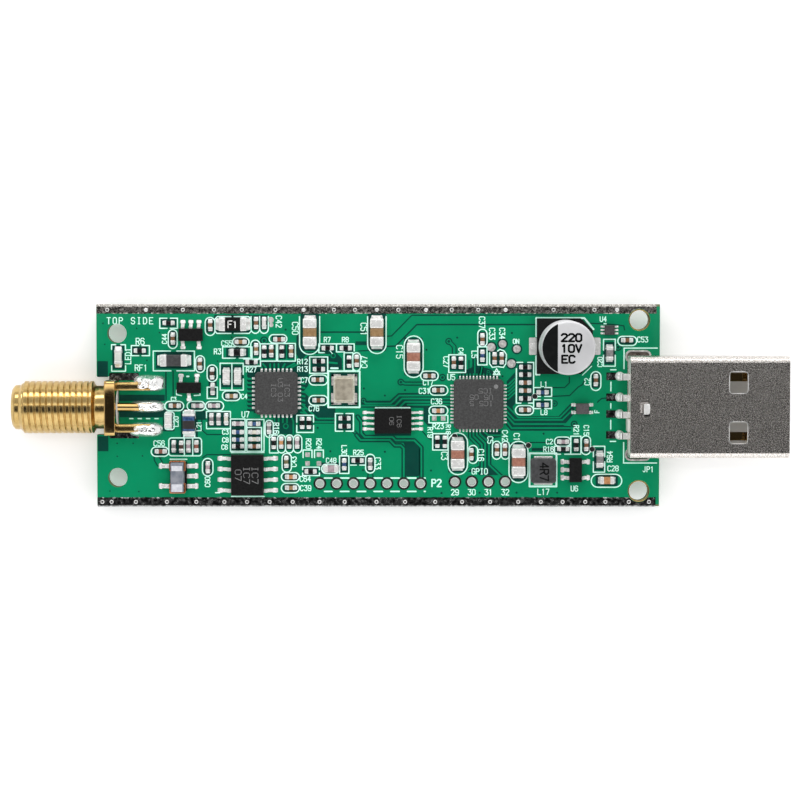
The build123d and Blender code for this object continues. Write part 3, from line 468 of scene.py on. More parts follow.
def lathe(piece, profile, centre, mat, steps):
    """A solid of revolution about a vertical line: the profile is (radius, z) from the bottom up."""
    loft(piece, [level_circle(centre, radius, z, steps) for radius, z in profile], mat)


def ring_plate(piece, centre, inner, outer, low_z, high_z, mat, steps=32):
    """A flat ring with a slightly rounded outer edge."""
    lip = (outer - inner) * 0.15
    profile = [(inner, low_z), (outer, low_z), (outer, high_z - 0.01)]
    profile += [(outer - lip, high_z), (inner + lip, high_z), (inner, high_z - 0.02)]
    ring(piece, centre, profile, mat, steps)


def ring(piece, centre, profile, mat, steps=32):
    """A ring of any section about a vertical line: the profile is (radius, z), once round the section."""
    hoop(piece, [level_circle(centre, radius, z, steps) for radius, z in profile], mat)


def refined(node, slot, mat, bevel, segments=2, smooth=35, name=None):
    """A copy of a CAD node with its flat faces joined and its edges rounded; it stands for the node."""
    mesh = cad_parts[node].data.copy()
    mesh.materials.clear()
    mesh.materials.append(mat)
    work = bmesh.new()
    work.from_mesh(mesh)
    bmesh.ops.remove_doubles(work, verts=work.verts, dist=1e-7)
    bmesh.ops.dissolve_limit(
        work, angle_limit=math.radians(1.0), verts=work.verts, edges=work.edges,
        use_dissolve_boundaries=False,
    )
    if bevel:
        sharp = [e for e in work.edges if e.is_manifold and e.calc_face_angle(0) > math.radians(30)]
        bmesh.ops.bevel(
            work, geom=sharp, offset=bevel * MM, segments=segments, profile=0.5, affect="EDGES",
            clamp_overlap=True,
        )
    for face in work.faces:
        face.material_index = 0
    work.to_mesh(mesh)
    work.free()
    finish_mesh(mesh, smooth)
    thing = add_object(mesh, name or node + "_finished", slot, node)
    thing.modifiers.new("even_shading", "WEIGHTED_NORMAL").keep_sharp = True
    return thing


# ---------------------------------------------------------------- thin layers on the board

# Each layer starts just under the board's face and ends at its own height above it
LAYER_FOOT = TOP - 0.004
LAMINATE_LAYER = TOP + 0.005
TRACE_LAYER = TOP + 0.0095
SILK_LAYER = TOP + 0.016

laminate_layer = Piece()
trace_layer = Piece()
silk_layer = Piece()
via_layer = Piece()
pad_layer = Piece()


def capsule(a, b, width):
    """The outline of a straight stroke with round ends."""
    direction = math.degrees(math.atan2(b[1] - a[1], b[0] - a[0]))
    half = width / 2
    points = arc_points(b[0], b[1], half, direction - 90, direction + 90, 6)
    points += arc_points(a[0], a[1], half, direction + 90, direction + 270, 6)
    return points


def own_height(piece, level):
    """A height a hair above the level, different from its neighbours', so that no two faces coincide."""
    return level + 0.0003 * (len(piece.faces) // 3 % 11)


def stroke(piece, points, width, level, mat):
    """A line of even width through points, just above the board."""
    for a, b in zip(points, points[1:]):
        prism(piece, capsule(a, b, width), LAYER_FOOT, own_height(piece, level), mat)


def silk(points, width=0.14):
    """A white line of the printed marking."""
    stroke(silk_layer, points, width, SILK_LAYER, SILK)


def gap(points, width=0.14):
    """A line with no copper under the solder mask, which shows dark."""
    stroke(laminate_layer, points, width, LAMINATE_LAYER, MASK_DARK)


def bare_area(outline):
    """An area with no copper under the solder mask."""
    prism(laminate_layer, outline, LAYER_FOOT, own_height(laminate_layer, LAMINATE_LAYER), MASK_DARK)


def trace(points, width, clearance=0.14):
    """A copper track with a gap on each side."""
    gap(points, width + 2 * clearance)
    stroke(trace_layer, points, width, TRACE_LAYER, MASK)


def rectangle(x0, x1, y0, y1):
    return [(x0, y0), (x1, y0), (x1, y1), (x0, y1)]


# Letters drawn as strokes on a grid 4 wide and 6 high
STROKES = {
    "0": [[(1, 0), (3, 0), (4, 1), (4, 5), (3, 6), (1, 6), (0, 5), (0, 1), (1, 0)]],
    "1": [[(1, 5), (2, 6), (2, 0)]],
    "2": [[(0, 5), (1, 6), (3, 6), (4, 5), (4, 4), (0, 0), (4, 0)]],
    "3": [[(0, 6), (4, 6), (2, 3.6), (3, 3.6), (4, 2.6), (4, 1), (3, 0), (1, 0), (0, 1)]],
    "4": [[(3, 0), (3, 6), (0, 2), (4, 2)]],
    "5": [[(4, 6), (0, 6), (0, 3.6), (3, 3.6), (4, 2.6), (4, 1), (3, 0), (1, 0), (0, 1)]],
    "6": [[(4, 5), (3, 6), (1, 6), (0, 5), (0, 1), (1, 0), (3, 0), (4, 1), (4, 2.5), (3, 3.5), (0, 3.5)]],
    "7": [[(0, 6), (4, 6), (1.5, 0)]],
    "8": [
        [(1, 3.2), (0, 4), (0, 5), (1, 6), (3, 6), (4, 5), (4, 4), (3, 3.2), (1, 3.2)],
        [(1, 3.2), (0, 2.2), (0, 1), (1, 0), (3, 0), (4, 1), (4, 2.2), (3, 3.2)],
    ],
    "9": [[(0, 1), (1, 0), (3, 0), (4, 1), (4, 5), (3, 6), (1, 6), (0, 5), (0, 3.5), (1, 2.5), (4, 2.5)]],
    "C": [[(4, 5), (3, 6), (1, 6), (0, 5), (0, 1), (1, 0), (3, 0), (4, 1)]],
    "D": [[(0, 0), (0, 6), (2.5, 6), (4, 4.5), (4, 1.5), (2.5, 0), (0, 0)]],
    "E": [[(4, 0), (0, 0), (0, 6), (4, 6)], [(0, 3), (3, 3)]],
    "F": [[(0, 0), (0, 6), (4, 6)], [(0, 3), (3, 3)]],
    "G": [[(4, 5), (3, 6), (1, 6), (0, 5), (0, 1), (1, 0), (3, 0), (4, 1), (4, 3), (2.5, 3)]],
    "I": [[(1, 6), (3, 6)], [(2, 6), (2, 0)], [(1, 0), (3, 0)]],
    "J": [[(3, 6), (3, 1), (2, 0), (1, 0), (0, 1)]],
    "L": [[(0, 6), (0, 0), (4, 0)]],
    "N": [[(0, 0), (0, 6), (4, 0), (4, 6)]],
    "O": [[(1, 0), (3, 0), (4, 1), (4, 5), (3, 6), (1, 6), (0, 5), (0, 1), (1, 0)]],
    "P": [[(0, 0), (0, 6), (3, 6), (4, 5), (4, 4), (3, 3), (0, 3)]],
    "R": [[(0, 0), (0, 6), (3, 6), (4, 5), (4, 4), (3, 3), (0, 3)], [(2, 3), (4, 0)]],
    "S": [[(4, 5), (3, 6), (1, 6), (0, 5), (0, 4), (1, 3), (3, 3), (4, 2), (4, 1), (3, 0), (1, 0), (0, 1)]],
    "T": [[(0, 6), (4, 6)], [(2, 6), (2, 0)]],
    "V": [[(0, 6), (2, 0), (4, 6)]],
    "U": [[(0, 6), (0, 1), (1, 0), (3, 0), (4, 1), (4, 6)]],
}


def letter_lines(text, x, y, height, angle, squeeze, step):
    """The strokes of a text centred on x, y; step is the distance between letters."""
    unit = height / 6
    length = step * (len(text) - 1) + 4 * unit * squeeze
    for place, letter in enumerate(text):
        for line in STROKES.get(letter, ()):
            left = place * step - length / 2
            points = [(left + u * unit * squeeze, v * unit - height / 2) for u, v in line]
            yield turned(points, x, y, angle)


def word(text, x, y, height=0.9, angle=0, weight=0.108, pitch=None, squeeze=0.8):
    """A marking on the board centred on x, y; pitch is the distance between letters."""
    height *= 0.88
    step = pitch or 5.6 * height / 6 * squeeze
    for points in letter_lines(text, x, y, height, angle, squeeze, step):
        silk(points, weight)


def can_word(piece, text, x, y, height, level, mat, weight, angle=0, squeeze=0.85):
    """Printing on top of a component, centred on x, y."""
    for points in letter_lines(text, x, y, height, angle, squeeze, 5.4 * height / 6 * squeeze):
        for a, b in zip(points, points[1:]):
            prism(piece, capsule(a, b, weight), level - 0.02, level + 0.006, mat)


def pill(x0, x1, y0, y1, width=0.14, radius=None):
    """A closed marking round a chip with round corners."""
    r = min(x1 - x0, y1 - y0) / 2 if radius is None else radius
    outline = turned(rounded_outline(x1 - x0, y1 - y0, r, 6), (x0 + x1) / 2, (y0 + y1) / 2, 0)
    silk(outline + [outline[0]], width)


def split_line(start, end, opening, width):
    """A straight marking, left open in its middle."""
    if opening:
        share = (1 - opening / math.dist(start, end)) / 2
        reach = [(q - p) * share for p, q in zip(start, end)]
        silk([start, (start[0] + reach[0], start[1] + reach[1])], width)
        silk([(end[0] - reach[0], end[1] - reach[1]), end], width)
    else:
        silk([start, end], width)


def frame_box(x0, x1, y0, y1, gap_x=0.0, gap_y=0.0, width=0.14):
    """A rectangular marking, whose sides can be open in the middle."""
    for y in (y0, y1):
        split_line((x0, y), (x1, y), gap_x, width)
    for x in (x0, x1):
        split_line((x, y0), (x, y1), gap_y, width)


# ---------------------------------------------------------------- solder and pads


def solder_pad(cx, cy, angle, length, width, covered, height):
    """Solder on a pad. The pad starts at cx, cy and runs outwards; the chip covers its first part.

    The solder is as high as given along the covered part, then falls in a hollow curve to the pad's rim.
    """
    along = 9
    across = 6
    rim = 0.02
    share = covered / length
    grid = []
    for i in range(along):
        s = i / (along - 1)
        u = s * length
        fall = 1.0 if s <= share else (1 - (s - share) / (1 - share)) ** 1.9
        for j in range(across):
            t = 2 * j / (across - 1) - 1
            v = t * width / 2
            crown = 1 - abs(t) ** 3 if 0 < i < along - 1 else 0.0
            end_pull = 1 - 0.25 * s * s * abs(t)
            z = TOP + rim + height * fall * crown
            grid.append((u, v * end_pull, z))
    flat = turned([(u, v) for u, v, z in grid], cx, cy, angle)
    vertices = [(x, y, z) for (x, y), (u, v, z) in zip(flat, grid)]
    faces = []
    for i in range(along - 1):
        for j in range(across - 1):
            a = i * across + j
            faces.append([a, a + across, a + across + 1, a + 1])
    # a wall from the border down into the board, and a floor
    border = list(range(across))
    border += [i * across + across - 1 for i in range(1, along)]
    border += [(along - 1) * across + j for j in range(across - 2, -1, -1)]
    border += [i * across for i in range(along - 2, 0, -1)]
    start = len(vertices)
    for index in border:
        x, y, z = vertices[index]
        vertices.append((x, y, LAYER_FOOT))
    count = len(border)
    for k in range(count):
        m = (k + 1) % count
        faces.append([border[k], border[m], start + m, start + k])
    faces.append([start + k for k in range(count)])
    pad_layer.add(vertices, faces, SOLDER)


def chip_ends(low, high):
    """Centre of a chip, its long direction in degrees, its length, width and height."""
    size = high - low
    centre = (low + high) / 2
    if size.x >= size.y:
        return centre, 0, size.x, size.y, size.z
    return centre, 90, size.y, size.x, size.z


def paired_ends(terminals):
    """The boxes of the chips in a terminals node, each round the two ends that belong together."""
    boxes = solids(terminals)
    used = set()
    chips = []
    for i, (low_a, high_a) in enumerate(boxes):
        if i in used:
            continue
        best = None
        for j, (low_b, high_b) in enumerate(boxes):
            if j == i or j in used:
                continue
            a = (low_a + high_a) / 2
            b = (low_b + high_b) / 2
            distance = (a - b).length
            aligned = abs(a.x - b.x) < 0.03 or abs(a.y - b.y) < 0.03
            # the two ends of one chip face each other across their short side
            across_x = abs(a.x - b.x) > abs(a.y - b.y)
            size_a = high_a - low_a
            faces_along = size_a.y >= size_a.x if across_x else size_a.x >= size_a.y
            if aligned and faces_along and (best is None or distance < best[0]):
                best = (distance, j)
        if best is None:
            continue
        j = best[1]
        used.update((i, j))
        low_b, high_b = boxes[j]
        low = Vector([min(low_a[k], low_b[k]) for k in range(3)])
        high = Vector([max(high_a[k], high_b[k]) for k in range(3)])
        chips.append((low, high))
    return chips


def pads_for_chip(terminals, reach, side):
    """Solder at both ends of every chip in a terminals node, up to about half the chip's height."""
    chips = paired_ends(terminals)
    cover_share = 0.45
    lift = 0.55
    for low, high in chips:
        centre, angle, length, width, height = chip_ends(low, high)
        covered = cover_share * width
        for direction in (angle, angle + 180):
            start = length / 2 - covered
            x = centre.x + start * math.cos(math.radians(direction))
            y = centre.y + start * math.sin(math.radians(direction))
            solder_pad(x, y, direction, covered + reach, width + 2 * side, covered, lift * height)
    return chips


def clear_round(low, high, ends, sides):
    """The dark gap in the copper round a chip and its pads."""
    centre, angle, length, width, height = chip_ends(low, high)
    outline = rounded_outline(length + 2 * ends, width + 2 * sides, 0.12)
    bare_area(turned(outline, centre.x, centre.y, angle))



# ---------------------------------------------------------------- the board

# How far the long edges are rounded; places and sizes of the holes, the jack's notch and the plug's slots
EDGE_ROUND = 0.25
MOUNT_HOLES = [(-31.05, 8.6), (-31.05, -8.6), (31.05, 10.2), (31.05, -10.2)]
MOUNT_RADIUS = 1.15
HEADER_HOLES = sorted({
    (round((low.x + high.x) / 2, 3), round((low.y + high.y) / 2, 3)) for low, high in solids("header_pads")
})
HEADER_RADIUS = 0.5
NOTCH_END = -30.85
NOTCH_HALF = 3.475
SLOT_X = 30.95
SLOT_Y = 5.85


def inside(point, outline):
    """Whether a flat point lies inside a closed outline."""
    within = False
    for (ax, ay), (bx, by) in zip(outline, outline[1:] + outline[:1]):
        if (ay > point.y) != (by > point.y) and point.x < ax + (point.y - ay) * (bx - ax) / (by - ay):
            within = not within
    return within


def build_board():
    """The board with its notch, holes and slots, and rounded long edges."""
    outline = [(LEFT, -HALF_WIDTH), (RIGHT, -HALF_WIDTH), (RIGHT, HALF_WIDTH), (LEFT, HALF_WIDTH)]
    outline += [(LEFT, NOTCH_HALF)]
    corner = 0.35
    outline += arc_points(NOTCH_END - corner, NOTCH_HALF - corner, corner, 90, 0, 5)
    outline += arc_points(NOTCH_END - corner, -NOTCH_HALF + corner, corner, 0, -90, 5)
    outline += [(LEFT, -NOTCH_HALF)]
    holes = [circle_points(x, y, MOUNT_RADIUS, 40) for x, y in MOUNT_HOLES]
    holes += [circle_points(x, y, HEADER_RADIUS, 28) for x, y in HEADER_HOLES]
    for y in (SLOT_Y, -SLOT_Y):
        holes.append(turned(rounded_outline(2.7, 1.1, 0.5, 6), SLOT_X, y, 0))

    def at_height(points, inset):
        """The points with those on the two long edges moved inwards."""
        moved = []
        for x, y in points:
            moved.append((x, math.copysign(abs(y) - inset, y) if abs(y) > HALF_WIDTH - 0.01 else y))
        return moved

    levels = [(0.0, EDGE_ROUND), (0.04, 0.12), (EDGE_ROUND, 0.0)]
    levels += [(TOP - EDGE_ROUND, 0.0), (TOP - 0.04, 0.12), (TOP, EDGE_ROUND)]
    mesh = bpy.data.meshes.new("board")
    vertices = []
    faces = []

    def wall(points, heights):
        start = len(vertices)
        for z, inset in heights:
            vertices.extend((x, y, z) for x, y in at_height(points, inset))
        faces.extend(skin(len(points), [(row, row + 1) for row in range(len(heights) - 1)], start))

    wall(outline, levels)
    for hole in holes:
        wall(hole, [(0.0, 0.0), (TOP, 0.0)])
    kinds = [1] * len(faces)
    for z, inset in ((0.0, EDGE_ROUND), (TOP, EDGE_ROUND)):
        flat = [Vector(p) for p in at_height(outline, inset)]
        loops = [list(range(len(flat)))]
        for hole in holes:
            loops.append(list(range(len(flat), len(flat) + len(hole))))
            flat += [Vector(p) for p in hole]
        result = delaunay_2d_cdt(flat, [], loops, 1, 1e-6)
        points, triangles = result[0], result[2]
        start = len(vertices)
        vertices.extend((p.x, p.y, z) for p in points)
        for triangle in triangles:
            middle = sum((points[i] for i in triangle), Vector((0, 0))) / 3
            if not any(inside(middle, hole) for hole in holes):
                faces.append([start + i for i in triangle])
                kinds.append(0)
    mesh.from_pydata([(x * MM, y * MM, z * MM) for x, y, z in vertices], [], faces)
    mesh.materials.append(MASK)
    mesh.materials.append(LAMINATE)
    mesh.polygons.foreach_set("material_index", kinds)
    work = bmesh.new()
    work.from_mesh(mesh)
    bmesh.ops.remove_doubles(work, verts=work.verts, dist=1e-7)
    work.to_mesh(mesh)
    work.free()
    finish_mesh(mesh, 20)
    add_object(mesh, "board", "board", "circuit_board")


build_board()


def ripple(x, y, size, seed):
    """A smooth random height between -1 and 1."""
    return noise_at(Vector((x / size + seed, y / size - seed, seed * 0.37)))


def build_rail(name, node, side):
    """The rough tinned strip that wraps round one long edge of the board."""
    piece = Piece()
    inner_start = 10.95
    mount_clearance = 1.32
    round_width = 0.34 if side > 0 else 0.16
    round_height = 0.2
    end = RIGHT - 0.4
    steps = int((end - LEFT) / 0.1)
    loops = []
    for i in range(steps + 1):
        x = LEFT + 0.02 + (end - LEFT - 0.04) * i / steps
        start = inner_start + 0.05 * ripple(x, side, 0.5, 3.1)
        for hx, hy in MOUNT_HOLES:
            reach = mount_clearance ** 2 - (x - hx) ** 2
            if hy * side > 9 and reach > 0:
                start = max(start, abs(hy) + math.sqrt(reach))
        outer = []
        top_y = [start, start + 0.01]
        for k in range(1, 7):
            top_y.append(start + 0.01 + (HALF_WIDTH - round_width - start - 0.01) * k / 6)
        for k, y in enumerate(top_y):
            rise = 0.024 + 0.016 * ripple(x, y, 0.32, 7.7) + 0.006 * ripple(x, y, 0.11, 2.2)
            outer.append((y, TOP + rise if k else TOP))
        for angle in (65, 45, 25):
            wave = 0.02 + 0.018 * ripple(x, angle, 0.4, 5.5)
            a = math.radians(angle)
            y = HALF_WIDTH - round_width + 0.02 + (round_width + wave) * math.cos(a)
            outer.append((y, TOP - round_height + 0.02 + (round_height + wave) * math.sin(a)))
        edge = HALF_WIDTH + 0.035 + 0.014 * ripple(x, 4.0, 0.6, 9.1)
        outer.append((edge, TOP - 0.25))
        outer.append((edge, TOP / 2))
        half = outer[:-1]
        mirrored = [(y, TOP - z) for y, z in reversed(half)]
        outer = outer + mirrored
        inner = [(start, 0.03), (HALF_WIDTH - 0.28, 0.03), (HALF_WIDTH - 0.05, 0.3)]
        inner += [(HALF_WIDTH - 0.05, TOP - 0.3), (HALF_WIDTH - 0.28, TOP - 0.03), (start, TOP - 0.03)]
        loops.append([(x, side * y, z) for y, z in outer + inner])
    # the lower rail takes the darker copy of the solder: painted shade
    loft(piece, loops, RAIL_TIN if side > 0 else SHADED_RAIL_TIN)
    piece.build(name, "tin_plating", node, smooth=60)


build_rail("rail_upper", "ground_rail_upper", 1)
build_rail("rail_lower", "ground_rail_lower", -1)

# radius and height, once round the section of a plated hole
header = Piece()
tube = [(0.46, -0.04), (0.54, -0.04), (0.54, 0.0), (0.49, 0.0), (0.49, TOP), (0.54, TOP)]
tube += [(0.54, TOP + 0.03), (0.53, TOP + 0.04), (0.48, TOP + 0.04), (0.46, TOP + 0.01)]
for hole in HEADER_HOLES:
    # each pad ring is drawn near black, a painted dark reflection of the tin
    ring_plate(header, hole, 0.54, 0.77, TOP, TOP + 0.03, PAINTED_REFLECTION_RING)
    ring_plate(header, hole, 0.54, 0.77, -0.03, 0.0, PAINTED_REFLECTION_RING)
    ring(header, hole, tube, TIN)
header.build("plated_holes", "tin_plating", "header_pads")

# ---------------------------------------------------------------- antenna jack

JACK_TIP = box_mm("sma_body")[0].x
JACK_Y = -0.15
JACK_Z = 2.1
# Where the thread starts and ends along x, its pitch, and the radius of its crest and root
THREAD_START = -42.4
THREAD_END = -33.45
PITCH = 0.7056
CREST = 3.13
ROOT = 2.97


def jack_radius(x, angle):
    """The jack's outside radius, with a true helical thread."""
    if x < THREAD_START:
        return min(2.66, 2.36 + max(0.0, x - JACK_TIP))
    if x > THREAD_END:
        return 2.57
    phase = ((x - THREAD_START) / PITCH - angle / math.tau) % 1.0
    shape = abs(2 * phase - 1)
    height = min(1.0, max(0.0, (shape - 0.04) / 0.36))
    height = height * height * (3 - 2 * height)
    fade = min(1.0, (x - THREAD_START) / 0.5, (THREAD_END - x) / 0.35)
    low = 2.66 if x < (THREAD_START + THREAD_END) / 2 else 2.6
    return low + (ROOT - low) * fade + (CREST - ROOT) * height * fade


def jack_loop(x, radius_at):
    """A loop round the jack's axis; radius_at gives the radius at an angle."""
    around = 96
    loop = []
    for i in range(around):
        angle = math.tau * i / around
        r = radius_at(angle)
        loop.append((x, JACK_Y + r * math.cos(angle), JACK_Z + r * math.sin(angle)))
    return loop


def build_barrel():
    """The threaded tube, from its mouth back into the flange, then forward along the bore."""
    back = -31.6
    stations = [JACK_TIP + 0.02 * k for k in range(0, 16, 3)]
    stations += [THREAD_START - 0.3, THREAD_START - 0.05]
    count = int((THREAD_END - THREAD_START) / (PITCH / 14))
    stations += [THREAD_START + (THREAD_END - THREAD_START) * k / count for k in range(count + 1)]
    stations += [THREAD_END + 0.03, -33.0, back]
    loops = [jack_loop(x, lambda angle: jack_radius(x, angle)) for x in stations]
    bore = [(back, 2.06), (JACK_TIP + 1.92, 2.06), (JACK_TIP + 1.9, 2.3)]
    bore += [(JACK_TIP + 0.12, 2.32), (JACK_TIP, 2.36)]
    loops += [jack_loop(x, lambda angle: r) for x, r in bore]
    barrel = Piece()
    hoop(barrel, loops, SOFT_GOLD)
    barrel.build("antenna_barrel", "gold_plating", smooth=80)


def bar(piece, levels, centre, width, height, corner, steps, mat):
    """A bar along x with rounded corners; each level is x and how far the outline draws in there."""
    loops = []
    for x, inset in levels:
        outline = rounded_outline(width - 2 * inset, height - 2 * inset, corner, steps)
        loops.append([(x, centre[0] + u, centre[1] + v) for u, v in outline])
    loft(piece, loops, mat)


def build_flange():
    """The square flange with its four legs, two above the board and two below."""
    piece = Piece()
    front, rear = -32.25, -30.95
    levels = [(front, 0.12), (front + 0.035, 0.035), (front + 0.12, 0.0)]
    levels += [(rear - 0.12, 0.0), (rear - 0.035, 0.035), (rear, 0.12)]
    bar(piece, levels, (JACK_Y, JACK_Z), 6.5, 6.4, 0.4, 4, GOLD)
    leg = [(-31.1, 0.0), (-27.12, 0.0), (-27.03, 0.04), (-27.0, 0.12)]
    for y in (JACK_Y - 2.5, JACK_Y + 2.5):
        for z in (TOP + 0.5, -0.5):
            bar(piece, leg, (y, z), 1.0, 1.0, 0.1, 3, SOFT_GOLD)
    piece.build("antenna_jack", "gold_plating", "sma_body", smooth=40)


build_barrel()
build_flange()
insulator = Piece()
section = [(JACK_TIP + 1.9, 0.66), (JACK_TIP + 1.9, 2.05), (-30.93, 2.05), (-30.93, 0.6)]
hoop(insulator, [jack_loop(x, lambda angle: r) for x, r in section], PTFE)
insulator.build("antenna_insulator", "ptfe", "sma_dielectric")
refined("sma_center_contact", "gold_plating", GOLD, 0.04, name="antenna_contact")


def mound(
    piece, cx, cy, base, length, width, height, mat, seed, rough=0.12, square=2.4, power=0.6, down=False
):
    """A lump of solder with an uneven outline and surface."""
    rings = 14
    around = 44
    vertices = []
    for k in range(rings + 1):
        s = k / rings
        for i in range(around):
            angle = math.tau * i / around
            c, d = math.cos(angle), math.sin(angle)
            reach = 1 / (abs(c) ** square + abs(d) ** square) ** (1 / square)
            reach *= 1 + 0.5 * rough * noise_at(Vector((c * 1.6 + seed, d * 1.6, seed)))
            reach = min(reach, 1.0 / max(abs(c), abs(d)))
            u = c * reach * s
            v = d * reach * s
            z = (1 - s ** 2.2) ** power
            wave = noise_at(Vector((u * length * 0.9 + seed * 3, v * width * 0.9, seed)))
            fine = noise_at(Vector((u * length * 2.8 - seed, v * width * 2.8, seed * 2)))
            z *= min(1.0, 0.86 + rough * wave + 0.35 * rough * fine)
            x = cx + u * length / 2
            y = cy + v * width / 2
            level = base - z * height if down else base + z * height
            vertices.append((x, y, level))
            if k == 0:
                break
    faces = []
    for i in range(around):
        j = (i + 1) % around
        faces.append([0, 1 + i, 1 + j])
    for k in range(1, rings):
        a = 1 + (k - 1) * around
        b = a + around
        for i in range(around):
            j = (i + 1) % around
            faces.append([a + i, b + i, b + j, a + j])
    last = 1 + (rings - 1) * around
    start = len(vertices)
    sunk = base + 0.01 if down else base - 0.01
    for i in range(around):
        x, y, z = vertices[last + i]
        vertices.append((x, y, sunk))
    for i in range(around):
        j = (i + 1) % around
        faces.append([last + i, start + i, start + j, last + j])
    faces.append([start + i for i in range(around)])
    piece.add(vertices, faces, mat)


def solder_lumps(node, name, mat, seed_at, rough_at, square, power):
    """A lump of solder for each solid of a node, on the board's upper or lower face."""
    piece = Piece()
    for low, high in solids(node):
        middle = (low + high) / 2
        above = middle.z > TOP / 2
        height = high.z - TOP if above else -low.z
        mound(
            piece, middle.x, middle.y, TOP if above else 0.0, high.x - low.x, high.y - low.y, height, mat,
            seed_at(middle), rough_at(middle), square, power, down=not above,
        )
    piece.build(name, "solder", node, smooth=70)


solder_lumps(
    "sma_ground_solder", "jack_ground_solder", BRIGHT_SOLDER, lambda middle: 1.7 if middle.y > 0 else 4.9,
    lambda middle: 0.26 if middle.z > TOP / 2 and middle.y > 0 else 0.10, 3.0, 0.5,
)
solder_lumps(
    "sma_signal_solder", "jack_signal_solder", BRIGHT_SOLDER, lambda middle: 8.3, lambda middle: 0.12,
    3.4, 0.55,
)

# ---------------------------------------------------------------- USB plug

refined("usb_shell", "plug_steel", PLUG_STEEL, 0.05, smooth=45, name="plug_shell")
refined("usb_insulator", "white_plastic", WHITE_PLASTIC, 0.06, name="plug_insulator")
for number in range(1, 5):
    node = "usb_contact_%d" % number
    contact = refined(node, "gold_plating", GOLD, 0.02, segments=1, name="plug_contact_%d" % number)
    # the part of the contact outside the shell is tinned
    contact.data.materials.append(TIN)
    for polygon in contact.data.polygons:
        if polygon.center.x < 33.0 * MM:
            polygon.material_index = 1
plug_top = box_mm("usb_shell")[1].z
# the lanced tab, drawn in light tin as a painted highlight, with painted shade in the gap and a painted
# highlight strip on the edge behind it
lance = Piece()
lance_low = Vector((31.2, -1.05, plug_top - 0.03))
block(lance, lance_low, Vector((31.95, 0.45, plug_top)), TIN, 0.12, 0.02)
prism(lance, rectangle(31.97, 32.15, -0.9, 0.2), plug_top - 0.03, plug_top - 0.004, PAINTED_HOLE_SHADE)
prism(lance, rectangle(32.17, 32.27, -0.95, 0.25), plug_top - 0.03, plug_top - 0.002, TIN)
# painted highlights on the rounded rims of the two latch windows
WINDOW_X = 42.33
WINDOW_Y = 2.95
for y in (WINDOW_Y, -WINDOW_Y):
    shape = turned(rounded_outline(2.18, 2.58, 0.36), WINDOW_X, y, 0)
    for a, b in zip(shape, shape[1:] + shape[:1]):
        prism(lance, capsule(a, b, 0.09), plug_top - 0.02, plug_top + 0.003, TIN)
lance.build("plug_lance_painted_light", "plug_steel")
# the bright bends of the four pins
pins = Piece()
for number in range(1, 5):
    pin_low, pin_high = box_mm("usb_contact_%d" % number)
    middle_y = (pin_low.y + pin_high.y) / 2
    foot = Vector((28.95, middle_y - 0.36, pin_high.z - 0.3))
    block(pins, foot, Vector((29.98, middle_y + 0.36, pin_high.z + 0.004)), TIN, 0.03, 0.03)
pins.build("plug_pins", "tin_plating")
solder_lumps(
    "usb_solder_joints", "plug_solder", SOLDER, lambda middle: middle.y + 11.0, lambda middle: 0.08, 2.0, 0.8,
)

# ---------------------------------------------------------------- small chips

# The middle of a chip and the tone of its body
CHIP_TONES = [
    (-25.9, -5.45, "red"), (-16.35, 7.6, "tan"), (-17.45, 1.15, "tan"), (-24.2, 0.0, "brown"),
    (-21.5, 0.0, "pink"), (-19.55, 0.0, "pink"), (-19.85, -1.6, "grey"), (-19.0, -1.6, "grey"),
    (-18.1, -1.6, "cream"), (-24.35, -4.85, "grey"), (-23.45, -4.9, "dark"), (-22.6, -4.85, "pink"),
    (-21.65, -4.85, "red"), (-20.3, -7.35, "pink"), (-16.7, -2.15, "pink"), (-14.75, -3.15, "cream"),
    (-14.75, -4.0, "cream"), (-14.75, -4.85, "brown"), (-13.0, -2.65, "grey"), (-11.55, -4.4, "orange"),
    (-10.6, -4.4, "dark"), (-9.65, -4.4, "pink"), (-10.95, -6.7, "olive"), (-10.4, -8.5, "orange"),
    (-10.4, -9.8, "tan"), (-14.5, 9.85, "brown"), (-13.55, 9.85, "white"), (-11.75, 7.9, "red"),
    (-14.5, 6.75, "tan"), (-10.35, 6.5, "tan"), (7.15, -0.6, "orange"), (-0.95, -6.95, "grey"),
    (4.25, 5.8, "rose"), (9.5, -5.75, "rose"), (16.7, -6.7, "rose"), (22.05, -4.3, "pink"),
    (-19.7, 2.0, "grey"), (-19.75, 3.85, "dark"), (-5.6, -7.5, "pink"), (27.5, 6.25, "grey"),
    (26.4, -6.4, "grey"), (27.25, -8.9, "orange"), (-16.75, 6.35, "glaze"),
]


def chip_tone(middle, default):
    """The tone of the nearest entry of the table, or the default if none is close."""
    best = min(CHIP_TONES, key=lambda t: (t[0] - middle.x) ** 2 + (t[1] - middle.y) ** 2)
    close = (best[0] - middle.x) ** 2 + (best[1] - middle.y) ** 2 < 0.35 ** 2
    return best[2] if close else default


def chip_bodies(node, slot, default, corner, edge):
    """The bodies of small chips, each in the tone that the photo shows there."""
    piece = Piece()
    for low, high in solids(node):
        block(piece, low, high, CERAMIC[chip_tone((low + high) / 2, default)], corner, edge)
    piece.build(node + "_shaped", slot, node)


def plain_blocks(node, name, slot, mat, corner, edge):
    """Rounded blocks of one material in place of each solid of a node."""
    piece = Piece()
    for low, high in solids(node):
        block(piece, low, high, mat, corner, edge)
    piece.build(name, slot, node)


